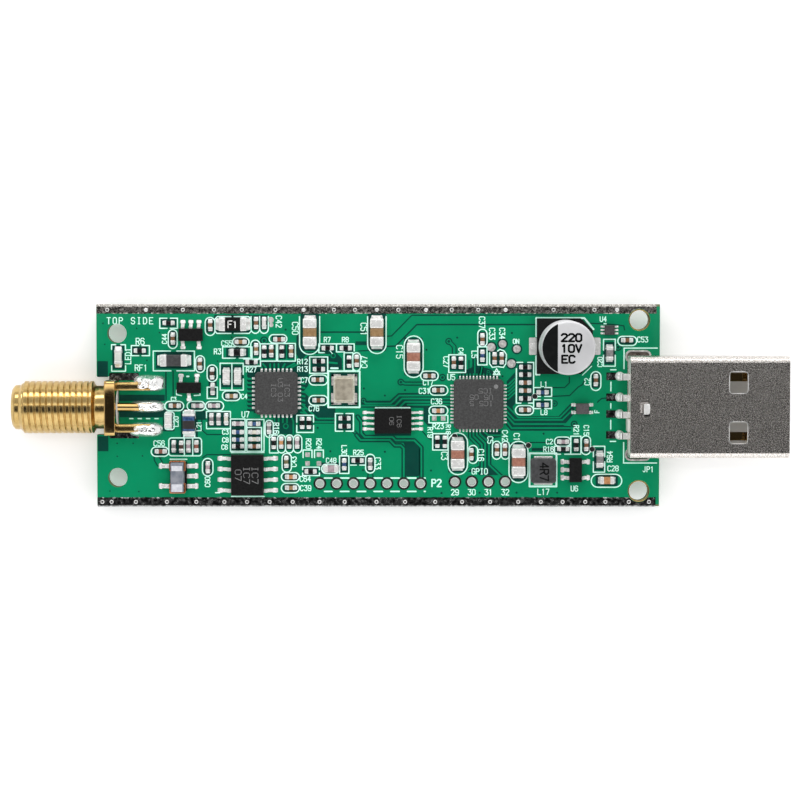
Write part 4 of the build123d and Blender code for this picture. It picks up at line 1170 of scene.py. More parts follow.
# Terminals; how far the solder reaches out and to each side; corner and edge radius of the terminals;
# how far the dark gap in the copper reaches at the ends and sides
for node, reach, side, corner, edge, ends, sides in (
    ("capacitor_0402_terminals", 0.22, 0.05, 0.05, 0.06, 0.42, 0.24),
    ("resistor_0402_terminals", 0.22, 0.05, 0.05, 0.06, 0.42, 0.24),
    ("inductor_0402_terminals", 0.22, 0.05, 0.05, 0.06, 0.42, 0.24),
    ("chip_0603_terminals", 0.2, 0.05, 0.08, 0.1, 0.5, 0.28),
    ("capacitor_1206_terminals", 0.36, 0.02, 0.14, 0.16, 0.6, 0.3),
    ("large_chip_terminals", 0.40, 0.05, 0.08, 0.1, 0.6, 0.3),
    ("status_led_terminals", 0.4, 0.06, 0.05, 0.06, 0.6, 0.3),
    ("choke_terminals", 0.25, 0.05, 0.05, 0.06, 0.0, 0.0),
):
    for low, high in pads_for_chip(node, reach, side):
        if ends:
            clear_round(low, high, ends, sides)
    plain_blocks(node, node + "_shaped", "tin_plating", TIN, corner, edge)

CERAMIC["glaze"] = RESISTOR_GLAZE
chip_bodies("capacitor_0402_bodies", "capacitor_ceramic", "brown", 0.03, 0.05)
chip_bodies("resistor_0402_bodies", "resistor_glaze", "glaze", 0.03, 0.05)
chip_bodies("coloured_chip_bodies", "capacitor_ceramic", "brown", 0.05, 0.08)
chip_bodies("white_chip_bodies", "white_ceramic", "white", 0.05, 0.06)
chip_bodies("capacitor_1206_bodies", "capacitor_ceramic", "tan", 0.1, 0.16)

for node, slot, mat, corner, edge in (
    ("inductor_0402_bodies", "blue_coil", BLUE_COIL, 0.06, 0.1),
    ("polyfuse_body", "capacitor_ceramic", MOULD, 0.08, 0.1),
    ("ferrite_bead_body", "ferrite", FERRITE, 0.1, 0.14),
    ("status_led_body", "led_resin", LED_RESIN, 0.06, 0.06),
):
    plain_blocks(node, node.rsplit("_", 1)[0] + "_shaped", slot, mat, corner, edge)
coil = Piece()
for low, high in solids("coil_body"):
    block(coil, low, high, COIL_DARK, 0.12, 0.15)
    third = (high.y - low.y) * 0.36
    for low_y, high_y in ((high.y - third, high.y), (low.y, low.y + third * 0.6)):
        foot = Vector((low.x, low_y, low.z + 0.02))
        block(coil, foot, Vector((high.x, high_y, high.z + 0.01)), BLUE_COIL, 0.12, 0.15)
coil.build("coil_shaped", "ferrite", "coil_body")
plain_blocks("choke_body", "choke_shaped", "ferrite", PALE_MOULD, 0.12, 0.12)

# ---------------------------------------------------------------- chip packages

marks = Piece()


def mould_dot(x, y, z, radius):
    """The round mark at a package's first lead."""
    lathe(marks, [(radius, z - 0.01), (radius, z + 0.004)], (x, y), MOULD_MARK, 24)


for node in ("mixer_body", "eeprom_body", "regulator_body", "clamp_body", "buck_body"):
    refined(node, "black_mould", MOULD, 0.05)
for node in ("demodulator_body", "tuner_body", "switch_body"):
    refined(node, "black_mould", QFN_MOULD, 0.05)
for node in ("demodulator_leads", "tuner_leads", "mixer_leads", "eeprom_leads", "sot_leads", "switch_leads"):
    refined(node, "tin_plating", TIN, 0.012, segments=1)


def flat_leads_solder(node, bodies, reach, side, lift):
    """Solder at the foot of each lead, outwards from the nearest of the packages."""
    packages = []
    for body in bodies:
        low, high = box_mm(body)
        packages.append(((low + high) / 2, (high - low) / 2))
    for low, high in solids(node):
        size = high - low
        middle = (low + high) / 2
        centre, half_size = min(packages, key=lambda p: (p[0] - middle).length)
        offset_x = (middle.x - centre.x) / half_size.x
        offset_y = (middle.y - centre.y) / half_size.y
        if abs(offset_x) > abs(offset_y):
            direction = 0 if offset_x > 0 else 180
            width, half = size.y, size.x / 2
        else:
            direction = 90 if offset_y > 0 else 270
            width, half = size.x, size.y / 2
        start = half - 0.1
        x = middle.x + start * math.cos(math.radians(direction))
        y = middle.y + start * math.sin(math.radians(direction))
        solder_pad(x, y, direction, 0.1 + reach, width + 2 * side, 0.1, lift)


# Leads, the packages they belong to, reach and sides of the solder, and its height
for node, packages, reach, side, lift in (
    ("demodulator_leads", ["demodulator_body"], 0.14, 0.0, 0.12),
    ("tuner_leads", ["tuner_body"], 0.14, 0.02, 0.12),
    ("mixer_leads", ["mixer_body"], 0.5, 0.08, 0.14),
    ("eeprom_leads", ["eeprom_body"], 0.4, 0.08, 0.14),
    ("sot_leads", ["regulator_body", "clamp_body", "buck_body"], 0.3, 0.12, 0.14),
    ("switch_leads", ["switch_body"], 0.1, 0.03, 0.1),
    ("transformer_leads", ["transformer_base"], 0.3, 0.1, 0.12),
):
    flat_leads_solder(node, packages, reach, side, lift)
# CAD node, slot, material, width and steps of its edge rounding, and the name of the piece
for node, slot, mat, bevel, segments, name in (
    ("oscillator_base", "white_ceramic", CERAMIC["cream"], 0.03, 2, None),
    ("oscillator_lid", "lid_metal", LID, 0.08, 3, None),
    ("inductor_core", "ferrite", FERRITE, 0.08, 3, "power_inductor"),
    ("inductor_terminals", "tin_plating", TIN, 0.03, 2, "power_inductor_terminals"),
    ("transformer_core", "ferrite", BLUE_FERRITE, 0.04, 2, "transformer_ferrite"),
    ("transformer_base", "black_mould", MOULD, 0.03, 2, "transformer_foot"),
    ("transformer_leads", "tin_plating", TIN, 0.02, 2, "transformer_pins"),
    ("transformer_windings", "copper_wire", COPPER_WIRE, 0.0, 2, "transformer_wire"),
    ("electrolytic_base", "black_mould", MOULD, 0.06, 2, "can_base"),
    ("electrolytic_terminals", "tin_plating", TIN, 0.03, 2, "can_terminals"),
):
    refined(node, slot, mat, bevel, segments, name=name)
core_low, core_high = box_mm("transformer_core")
for low_y, high_y, rise in ((-7.62, -7.02, 0.006), (-10.1, -9.2, 0.004)):
    pale = rectangle(core_low.x + 0.12, core_high.x - 0.12, low_y, high_y)
    prism(marks, pale, core_high.z - 0.02, core_high.z + rise, PALE_FERRITE)

# ---------------------------------------------------------------- electrolytic can

can_low, can_high = box_mm("electrolytic_can")
can_x = (can_low.x + can_high.x) / 2
can_y = (can_low.y + can_high.y) / 2
can_r = (can_high.x - can_low.x) / 2
can = Piece()
base = can_low.z
top = can_high.z - 0.01
# radius and height, from the foot over the groove to the middle of the top
profile = [(can_r - 0.25, base), (can_r, base + 0.3), (can_r, base + 1.1), (can_r - 0.25, base + 1.3)]
profile += [(can_r - 0.28, base + 1.45), (can_r - 0.25, base + 1.6), (can_r, base + 1.8)]
profile += [(can_r, top - 0.45), (can_r - 0.03, top - 0.2), (can_r - 0.1, top - 0.07)]
profile += [(can_r - 0.2, top - 0.015)]
profile += [(can_r - 0.28, top), (can_r * 0.5, top), (0.02, top)]
lathe(can, profile, (can_x, can_y), CAN, 96)
# the black mark of the negative side, which ends at a chord 1.25 from the middle
rim = can_r - 0.1
half = math.degrees(math.acos(1.25 / rim))
prism(can, arc_points(can_x, can_y, rim, 180 - half, 180 + half, 40), top - 0.05, top + 0.006, CAN_PRINT)
for text, x, y in (("220", 0.4, 1.2), ("10V", 0.4, -0.05), ("EC", 0.05, -1.3)):
    can_word(can, text, can_x + x - 0.08, can_y + y, 0.84, top, CAN_PRINT, 0.24, squeeze=1.1)
inductor_top = box_mm("inductor_core")[1].z
can_word(marks, "4R7", 19.72, -7.8, 0.98, inductor_top, CAN_PRINT, 0.17, -90)


def chip_code(node, lines, height, angle):
    """Generic marks on a package: each is a text and its place from the package's middle."""
    low, high = box_mm(node)
    middle = (low + high) / 2
    for text, x, y in lines:
        place = (middle.x + x, middle.y + y)
        can_word(marks, text, *place, height, high.z, MOULD_MARK, height * 0.11, angle, 1.15)


chip_code("mixer_body", (("IC7", 0.95, 0), ("IC7", -0.05, 0), ("07", -1.05, 0)), 0.72, -90)
chip_code("eeprom_body", (("IC6", 0.75, 0), ("06", -0.15, 0)), 0.5, -90)
chip_code("tuner_body", (("IC3", 1.3, 0.4), ("U3 03", 0.5, 0.4), ("IC3", -0.3, 0.4)), 0.55, -90)
chip_code("demodulator_body", (("IC5", 0.8, 1.6), ("U5 05", 0.3, 0.85), ("IC5 5", 0.3, 0.1)), 0.55, 180)
tuner_low, tuner_high = box_mm("tuner_body")
mould_dot(tuner_low.x + 0.4, tuner_low.y + 0.4, tuner_high.z, 0.14)
demodulator_top = box_mm("demodulator_body")[1]
mould_dot(demodulator_top.x - 0.9, demodulator_top.y - 0.85, demodulator_top.z, 0.26)
fuse_low, fuse_high = box_mm("polyfuse_body")
fuse_middle = (fuse_low + fuse_high) / 2
can_word(marks, "F1", fuse_middle.x, fuse_middle.y, 0.8, fuse_high.z, WHITE_PRINT, 0.13)
can.build("electrolytic_sleeve", "can_aluminium", "electrolytic_can", smooth=50)

# ---------------------------------------------------------------- vias and test points


def via(x, y, radius):
    """A small hole under solder mask, with its lower end."""
    rim = [(radius, LAYER_FOOT), (radius, TOP + 0.006), (radius * 0.7, TOP + 0.012)]
    lathe(via_layer, rim, (x, y), MASK, 14)
    lathe(via_layer, [(radius * 0.6, LAYER_FOOT), (radius * 0.6, TOP + 0.014)], (x, y), MASK_DARK, 12)
    lathe(via_layer, [(0.28, -0.012), (0.4, -0.006), (0.4, 0.004)], (x, y), MASK, 14)
    lathe(via_layer, [(0.15, -0.015), (0.15, 0.004)], (x, y), MASK_DARK, 12)


def strip(points, width):
    """A copper track without its own gap, inside a bare area."""
    stroke(trace_layer, points, width, TRACE_LAYER, MASK)


def ringed_via(x, y, radius=0.35):
    """A small hole with a dark gap round it."""
    bare_area(circle_points(x, y, radius + 0.14, 20))
    via(x, y, radius)


def test_point(x, y, radius):
    """A round tinned area with a bare ring round it."""
    bare_area(circle_points(x, y, radius + 0.2, 28))
    disc = [(radius, LAYER_FOOT), (radius, TOP + 0.014), (radius - 0.03, TOP + 0.02)]
    lathe(via_layer, disc, (x, y), WORN_TIN, 28)


def flat_pad(x0, x1, y0, y1, mat, corner=0.05):
    """A flat tinned area with rounded corners."""
    outline = turned(rounded_outline(x1 - x0, y1 - y0, corner, 3), (x0 + x1) / 2, (y0 + y1) / 2, 0)
    prism(pad_layer, outline, LAYER_FOOT, TOP + 0.02, mat)


# Places along the upper rail, each with whether the hole is filled with solder
RAIL_VIAS_UPPER = [
    (-32.2, 0), (-27.6, 1), (-23.2, 0), (-19.5, 0), (-16.2, 0), (-12.2, 0), (-8.85, 1), (-5.25, 0),
    (-2.75, 0), (-0.15, 1), (2.4, 0), (5.7, 1), (8.75, 0), (11.9, 0), (15.15, 1), (20.85, 0), (25.7, 0),
    (28.4, 1),
]
RAIL_VIAS_LOWER = [
    -32.9, -31.8, -28.9, -25.2, -21.7, -18.35, -15.65, -12.95, -10.2, -7.0, -4.0, -0.2, 3.2, 6.8, 10.0,
    13.35, 16.7, 19.4, 22.0, 24.7, 27.1, 29.9, 32.3,
]
rail_vias = Piece()


def rail_via(x, y, filled):
    """A hole through a rail, open or filled with solder; an open hole is filled with a near-black disc as
    painted shade.
    """
    height = TOP + 0.045
    if filled:
        mound(rail_vias, x, y, TOP + 0.01, 0.5, 0.5, 0.07, SOLDER, x * 1.3, rough=0.1, square=2.0)
    else:
        rim = [(0.24, TOP - 0.01), (0.24, height - 0.01), (0.2, height), (0.13, height)]
        lathe(rail_vias, rim, (x, y), TIN, 16)
        lathe(rail_vias, [(0.12, TOP - 0.01), (0.12, height + 0.004)], (x, y), PAINTED_HOLE_SHADE, 14)


for x, filled in RAIL_VIAS_UPPER:
    rail_via(x, 11.4, filled)
for x in RAIL_VIAS_LOWER:
    rail_via(x, -11.5, False)
rail_vias.build("rail_holes", "tin_plating", smooth=50)

# ---------------------------------------------------------------- markings and copper, left end

for points in (
    [(-31.7, 6.7), (-31.7, 7.25), (-31.2, 7.25)], [(-30.6, 7.25), (-30.05, 7.25), (-30.05, 6.6)],
    [(-31.7, 4.75), (-31.7, 4.1), (-30.05, 4.1), (-30.05, 4.75)],
):
    silk(points)
word("LED1", -29.75, 5.9, 0.75, 90)
word("R6", -28.3, 7.65, 0.85)
frame_box(-29.35, -27.2, 5.95, 7.15, gap_x=0.4)
word("RF1", -28.2, 4.5, 0.8)
silk([(-24.7, 6.5), (-26.75, 6.5), (-26.75, 4.15), (-24.65, 4.15)])
silk([(-23.95, 6.5), (-21.85, 6.5), (-21.85, 4.15), (-23.95, 4.15)])
word("C44", -25.4, 7.95, 0.62, 90)
word("TOP SIDE", -29.5, 10.1, 0.85, pitch=0.72)
frame_box(-25.95, -23.85, 9.2, 10.4, gap_x=0.4)
bare_area(rectangle(-33.4, -32.15, 3.4, 5.3))
bare_area(rectangle(-33.4, -32.15, -5.45, -3.65))
# the pads beside the jack's flange take the darker copy of the rail solder: painted shade
flat_pad(-32.0, -28.5, 3.0, 3.9, SHADED_RAIL_TIN, 0.08)
flat_pad(-32.0, -28.5, -3.9, -3.0, SHADED_RAIL_TIN, 0.08)
bare_area(rectangle(-30.8, -25.4, 0.55, 1.3))
bare_area(rectangle(-30.8, -25.4, -1.4, -0.65))
gap([(-25.25, 0.7), (-25.25, 4.0)], 0.16)
for x, y in (
    (-32.7, 9.8), (-28.7, 9.2), (-26.0, 8.7), (-32.5, 7.3), (-27.5, 5.4), (-31.1, -6.05), (-28.1, -6.0),
    (-32.0, -10.2), (-28.55, -10.25), (-31.1, -4.5), (-29.2, -4.5),
):
    via(x, y, 0.16)
pill(-27.05, -24.95, -6.05, -4.95)
word("C56", -26.1, -4.5, 0.7)
gap([(-26.7, -6.1), (-26.7, -6.5), (-26.3, -7.2)])
gap([(-26.1, -6.1), (-25.7, -6.8)])
for x in (-29.6, -28.6, -27.6, -26.6):
    silk([(x, -1.55), (x + 0.4, -1.55)])
pill(-24.95, -23.9, 6.8, 9.05)
word("C3", -24.35, 0.78, 0.5)
for args in (
    (-20.55, -19.4, 8.35, 10.5), (-21.7, -20.65, 3.95, 5.95), (-20.35, -19.15, 2.85, 4.85),
):
    pill(*args)
frame_box(-20.35, -19.15, 0.85, 2.2)
silk([(-17.5, 10.6), (-19.1, 10.6), (-19.4, 10.3), (-19.4, 8.85), (-19.15, 8.6), (-17.5, 8.6)])
silk([(-17.1, 10.6), (-15.4, 10.6), (-15.1, 10.3), (-15.1, 8.85), (-15.35, 8.6), (-17.1, 8.6)])
word("C55", -18.0, 7.42, 0.68)
word("R3", -19.1, 6.45, 0.7)
frame_box(-18.5, -15.0, 5.65, 7.0, gap_x=0.5)
pill(-17.3, -15.35, 7.05, 8.1)
frame_box(-18.8, -16.05, 1.85, 5.05, gap_y=0.55)
silk([(-17.4, 5.05), (-17.4, 1.85)])
pill(-18.55, -16.4, 0.6, 1.75)
word("C4", -15.95, 1.1, 0.6)
for args in (
    (-25.4, -23.15, -0.6, 0.5), (-22.75, -20.6, -0.6, 0.5), (-20.55, -18.4, -0.6, 0.5),
):
    pill(*args)
pill(-25.4, -24.3, -2.85, -0.75, radius=0.3)
for points in (
    [(-23.2, -1.5), (-23.2, -0.7), (-21.85, -0.7), (-21.85, -1.4)], [(-23.15, -3.1), (-23.15, -3.85)],
    [(-21.85, -3.1), (-21.85, -3.85)],
):
    silk(points)
for args in (
    ("C3", -18.2, -3.15, 0.6), ("C8", -18.2, -4.1, 0.6), ("C6", -18.3, -4.95, 0.6),
):
    word(*args)
silk([(-24.0, 1.85), (-24.0, 1.3), (-23.4, 1.2)])
silk([(-21.2, 1.6), (-21.2, 1.25), (-21.9, 1.2)])
silk([(-22.75, 3.48), (-22.55, 3.48)], 0.2)
gap([(-24.4, 1.2), (-24.4, 4.1)])
for x, y in ((-20.5, 4.2), (-19.1, 5.3), (-17.4, 8.15)):
    via(x, y, 0.15)
frame_box(-20.45, -17.6, -2.75, -0.7, gap_y=0.6)
frame_box(-17.6, -15.85, -5.45, -1.6)
frame_box(-15.65, -13.9, -5.45, -2.6)
pill(-24.95, -21.05, -6.0, -3.85, radius=0.35)
silk([(-23.1, -3.85), (-23.1, -6.0)])
silk([(-22.1, -3.85), (-22.1, -6.0)])
pill(-20.95, -19.7, -8.4, -6.3)
for args in (
    ("C60", -20.35, -9.1, 0.65, 90), ("L21", -21.35, -2.45, 0.6, 90), ("L20", -24.1, -1.9, 0.65, 90),
):
    word(*args)
bare_area(rectangle(-21.6, -20.5, -1.7, -0.6))
gap([(-21.0, -1.7), (-21.0, -2.9), (-20.4, -3.45), (-18.6, -3.45)])
gap([(-20.9, -6.2), (-20.4, -5.85), (-17.5, -5.85)])
for points in (
    [(-19.4, -10.4), (-18.9, -10.4)], [(-17.5, -5.6), (-13.6, -5.6)], [(-17.5, -10.85), (-13.6, -10.85)],
    [(-24.8, -6.4), (-22.8, -6.4)],
):
    silk(points)
word("U7", -15.8, -1.05, 0.75)

# ---------------------------------------------------------------- tuner and oscillator

bare_area([
    (-15.6, -0.9), (-15.6, 4.0), (-14.1, 5.3), (-9.8, 5.3), (-8.6, 6.35), (-5.0, 6.35), (-4.3, 5.6),
    (-4.3, 4.3), (-6.1, 4.3), (-6.1, 5.8), (-8.2, 5.8), (-8.3, 2.4), (-8.9, 1.7), (-7.3, 0.1),
    (-5.1, -0.3), (-5.1, -2.15), (-7.6, -2.15), (-9.7, -1.0), (-9.9, -3.4), (-12.4, -3.4),
    (-12.6, -0.9),
])
bare_area([(-9.7, 8.3), (-9.25, 8.6), (-9.25, 6.6), (-8.5, 6.1), (-9.4, 5.5), (-9.75, 6.2)])
for place, turn in enumerate((-0.5, -0.35, 0.0, 0.0, 0.0, 0.25, 0.9, 1.2)):
    x = -13.85 + 0.5 * place
    strip([(x, 4.1), (x, 4.55), (x + turn, 4.95 if abs(turn) < 0.6 else 4.75 + abs(turn) * 0.3)], 0.2)
for place in range(9):
    y = 3.2 - 0.5 * place
    strip([(-14.9, y), (-15.5, y), (-15.9, y + 0.45), (-15.9, y + 0.7)], 0.2)
    strip([(-9.2, y), (-8.75, y - 0.1)], 0.2)
for x, low_y in (
    (-13.85, -1.7), (-13.35, -1.7), (-12.35, -2.2), (-11.85, -3.4), (-11.35, -2.0), (-10.85, -2.0),
):
    strip([(x, -1.2), (x, low_y)], 0.2)
for points in (
    [(-10.35, -1.2), (-10.1, -1.9), (-10.1, -3.3)], [(-9.0, 0.1), (-7.2, -1.55), (-5.15, -1.55)],
    [(-9.0, -0.5), (-7.6, -1.95), (-5.15, -1.95)],
):
    strip(points, 0.2)
strip([(-9.2, 5.1), (-8.4, 6.05), (-5.8, 6.05)], 0.22)
strip([(-6.0, 5.15), (-4.9, 5.05)], 0.22)
area = [(-8.7, 1.6), (-8.1, 1.0), (-6.2, 1.3), (-6.2, 2.3), (-8.1, 2.3)]
prism(trace_layer, area, LAYER_FOOT, TRACE_LAYER, MASK)
gap([(-3.1, -3.1), (-2.0, -4.2)])
gap([(-2.75, -3.0), (-2.0, -3.75)])
for args in (
    (-11.0, -2.45), (-5.35, 5.95), (-13.55, 7.75),
):
    ringed_via(*args)
gap([(-6.9, 8.75), (-1.4, 8.75)], 0.18)
bare_area(rectangle(-2.7, -1.3, 7.2, 7.65))
gap([(-2.4, 6.5), (-0.6, 6.6), (0.4, 6.9), (1.0, 7.05)])

for points in (
    [(-9.35, 10.6), (-9.35, 7.3)], arc_points(-8.15, 7.3, 1.2, 180, 360, 14),
    [(-6.95, 7.3), (-6.95, 10.6)],
):
    silk(points)
word("C50", -9.85, 9.2, 0.8, -90)
for points in (
    [(-7.05, 6.3), (-7.05, 7.35), (-2.85, 7.35), (-2.85, 6.5)], [(-7.05, 6.3), (-6.4, 6.3)],
    [(-4.95, 7.35), (-4.95, 6.4), (-4.0, 6.4)],
):
    silk(points)
silk([(-5.75, 6.55), (-5.45, 6.2)], 0.1)
word("R7", -6.05, 7.85, 0.65)
word("R8", -3.9, 7.85, 0.65)
frame_box(-4.05, -3.0, 4.15, 6.3)
pill(-3.05, -2.1, 4.15, 6.3)
word("C47", -1.65, 5.2, 0.75, 90)
frame_box(-8.15, -6.0, 3.85, 5.8)
pill(-8.25, -6.0, 2.45, 3.65)
word("C7", -8.8, 3.05, 0.65)
pill(-8.25, -6.0, 0.05, 1.2)
for args in (
    ("C76", -7.65, -0.35, 0.65), ("R12", -9.0, 5.25, 0.65), ("R13", -9.0, 4.35, 0.65),
):
    word(*args)
bare_area(rectangle(-5.7, -2.4, -0.05, 3.95))
frame_box(-5.95, -2.2, -0.2, 4.1, width=0.2)
for x0, x1, y0, y1 in (
    (-5.55, -4.45, 3.48, 3.75), (-5.55, -5.28, 2.4, 3.75), (-3.65, -2.55, 3.48, 3.75),
    (-2.78, -2.5, 2.4, 3.75), (-5.6, -5.3, 0.15, 1.5), (-5.6, -4.4, 0.12, 0.4), (-2.8, -2.5, 0.15, 1.5),
    (-3.6, -2.5, 0.12, 0.4),
):
    flat_pad(x0, x1, y0, y1, WORN_TIN, 0.03)
silk([(-5.6, 4.45), (-4.8, 4.45)], 0.22)
# chips above the tuner
for x in (-15.1, -14.08, -13.05):
    silk([(x, 10.6), (x, 9.1)])
silk(arc_points(-14.6, 9.1, 0.5, 180, 360, 8))
silk(arc_points(-13.56, 9.1, 0.5, 180, 360, 8))
mound(marks, -12.75, 10.2, TOP, 0.7, 0.7, 0.1, WORN_TIN, 2.2)
mound(marks, -12.7, 9.6, TOP, 0.5, 0.5, 0.08, WORN_TIN, 5.2)
word("C42", -11.8, 10.0, 0.75, -90)
pill(-12.95, -10.85, 7.45, 8.45)
pill(-15.15, -14.05, 5.4, 7.8)
frame_box(-14.0, -12.1, 5.3, 7.35)
frame_box(-11.95, -9.85, 5.3, 7.4)
silk([(-16.0, 5.55), (-14.0, 5.55), (-14.0, 4.7), (-16.0, 4.7)])
word("R27", -15.1, 4.3, 0.65)
# chips below the tuner
frame_box(-15.65, -13.6, -5.45, -1.65)
pill(-13.45, -12.5, -3.8, -1.75)
word("R16", -12.15, -2.7, 0.7, -90)
frame_box(-9.7, -7.7, -3.2, -1.15, gap_y=0.4)
silk([(-12.95, -3.5), (-12.0, -3.5)])
silk([(-12.95, -3.5), (-12.95, -5.65), (-11.9, -5.65)])
for args in (
    (-12.0, -11.05, -5.65, -3.5), (-11.05, -10.1, -5.65, -3.5), (-10.1, -9.1, -5.65, -3.5),
    (-11.45, -10.35, -7.95, -5.7),
):
    pill(*args)
word("C43", -10.05, -6.7, 0.65, 90)
pill(-11.55, -9.4, -9.0, -8.0)
word("C64", -8.7, -8.75, 0.7)
pill(-11.55, -9.4, -10.4, -9.3)
for args in (
    ("C39", -8.65, -9.85, 0.7), ("R20", -8.3, -4.55, 0.65, -90), ("R24", -7.05, -4.55, 0.65, -90),
):
    word(*args)
for x in (-8.42, -7.06):
    silk([(x - 0.53, -6.2), (x - 0.53, -5.3), (x + 0.53, -5.3), (x + 0.53, -6.2)])
    for y in (-5.85, -6.9):
        flat_pad(x - 0.27, x + 0.27, y - 0.27, y + 0.27, WORN_TIN)
frame_box(-9.0, -7.0, -8.35, -7.35, gap_y=0.4)
pill(-6.75, -4.65, -8.1, -7.0)
word("C48", -5.6, -6.55, 0.65)
frame_box(-4.6, -3.5, -8.1, -6.0)
word("L30", -4.05, -5.35, 0.65, -90)
for points in (
    [(-3.3, -6.05), (-1.6, -6.05)], [(-3.3, -7.1), (-2.6, -7.1)], [(-2.2, -7.1), (-1.6, -7.1)],
):
    silk(points)
word("R25", -2.35, -5.6, 0.65)
frame_box(-5.1, -2.95, -3.05, -0.95, gap_x=0.4)

# ---------------------------------------------------------------- memory, large capacitors and their tracks

for points in (
    [(-1.25, 10.6), (-1.25, 7.3)], arc_points(-0.15, 7.3, 1.1, 180, 360, 14), [(0.95, 7.3), (0.95, 10.6)],
):
    silk(points)
word("C51", -1.7, 9.1, 0.8, -90)
gap([(0.85, 8.25), (1.6, 8.3), (4.0, 10.75), (22.0, 10.8)])
gap([(1.0, 7.05), (2.1, 7.1), (4.6, 9.65), (18.7, 9.65)], 0.18)
for x, y in (
    (9.4, 8.1), (5.75, 6.65), (-1.7, 2.05), (3.2, 1.85), (0.8, 1.2), (0.8, -5.5), (6.3, -7.75),
    (7.55, -10.45), (-1.8, -7.7), (-5.7, -5.45), (-7.2, -2.65), (15.9, 8.65), (16.5, -10.4),
    (21.35, -10.4), (19.7, -3.35), (14.8, 3.5), (-11.0, 9.05), (12.1, -10.4),
):
    bare_area(circle_points(x, y, 0.13, 10))
pill(3.1, 5.35, 3.35, 8.3)
bare_area(turned(rounded_outline(1.7, 0.7, 0.3), 4.25, 3.85, 0))
word("C15", 2.55, 6.4, 0.85, -90)
pill(5.05, 7.15, 3.0, 4.1)
word("C17", 5.95, 2.75, 0.65)
trace([(2.7, 2.8), (3.2, 2.62), (5.2, 2.62)], 0.22)
ringed_via(2.7, 2.8, 0.28)
pill(6.1, 8.3, 1.25, 2.4)
word("C31", 5.5, 1.75, 0.7)
word("U5", 8.7, 3.4, 0.75)
ringed_via(7.65, 3.35, 0.3)
bare_area([
    (-2.0, 0.6), (1.4, 0.6), (2.4, 1.5), (6.0, 1.55), (8.7, 1.1), (8.7, -0.35), (3.9, -0.25),
    (-2.0, -0.25),
])
for points in (
    [(8.8, 1.2), (2.5, 1.2), (1.5, 0.25), (-1.5, 0.25), (-1.75, 0.6)],
    [(8.8, 0.85), (2.85, 0.85), (2.0, 0.0), (-2.0, 0.0)], [(8.8, 0.45), (3.2, 0.45), (2.6, -0.15)],
    [(8.8, 0.1), (3.5, 0.1)],
):
    strip(points, 0.2)
ringed_via(-1.75, 0.6, 0.22)
word("C36", 6.95, 0.5, 0.7)
pill(6.05, 8.3, -1.15, -0.05)
frame_box(6.05, 8.3, -2.05, -1.15)
for x in (6.68, 7.75):
    flat_pad(x - 0.27, x + 0.27, -1.8, -1.2, WORN_TIN)
word("R23", 7.15, -2.45, 0.7)
frame_box(8.4, 10.4, 3.95, 6.05)
word("C27", 8.1, 5.2, 0.7, -90)
word("C4", 9.85, 6.5, 0.6, -90)
trace([(8.45, 7.65), (9.05, 7.0), (9.05, 6.1)], 0.3)
ringed_via(8.4, 7.65, 0.28)
gap([(10.8, 5.4), (10.8, 3.6)])
silk([(-0.3, -0.28), (3.75, -0.28)], 0.2)
bare_area([(-0.4, -3.25), (3.9, -3.25), (3.9, -3.6), (-0.4, -3.6)])
trace([
    (-2.45, -1.3), (-2.0, -1.9), (-2.0, -3.3), (-1.6, -3.75), (1.7, -3.75), (2.1, -4.15), (4.3, -4.15),
    (5.15, -5.0), (5.15, -8.6),
], 0.2, 0.18)
trace([
    (-2.6, -3.5), (-2.1, -4.1), (1.4, -4.1), (2.0, -4.75), (2.7, -4.75), (3.05, -5.1), (3.05, -8.6),
], 0.2, 0.18)
bare_area([
    (3.25, -5.0), (3.25, -8.2), (3.4, -8.45), (4.8, -8.45), (4.95, -8.2), (4.95, -5.2), (4.2, -4.4),
    (3.0, -4.4),
])
pill(-1.5, -0.4, -8.05, -5.8)
word("C33", -0.05, -6.9, 0.75, -90)
gap([(-1.25, -8.6), (-1.2, -8.15)])
gap([(-0.6, -8.6), (-0.65, -8.15)])
for x0, x1 in (
    (-6.4, -5.5), (-4.5, -3.5), (-2.5, -1.5), (-0.5, 0.5), (1.5, 2.5), (3.5, 4.5), (5.5, 5.6),
):
    for y in (-8.65, -10.25):
        silk([(x0, y), (x1, y)], 0.18)
word("P2", 6.95, -9.25, 0.95, 0, 0.17)
frame_box(6.5, 8.3, -5.3, -3.35)
word("R19", 6.2, -3.2, 0.65, -90)
word("R18", 8.35, -2.85, 0.6, -90)
pill(8.35, 10.65, -8.25, -3.25)
word("C3", 7.9, -6.0, 0.8, -90)
gap([(5.5, -0.1), (5.5, -1.4), (6.3, -2.3)], 0.2)
gap([(5.3, -3.1), (5.9, -3.8), (6.4, -4.1)])
bare_area([(5.4, -0.2), (6.0, -0.2), (6.0, -2.0), (6.4, -2.4), (5.9, -2.4), (5.4, -1.8)])

# ---------------------------------------------------------------- around the demodulator

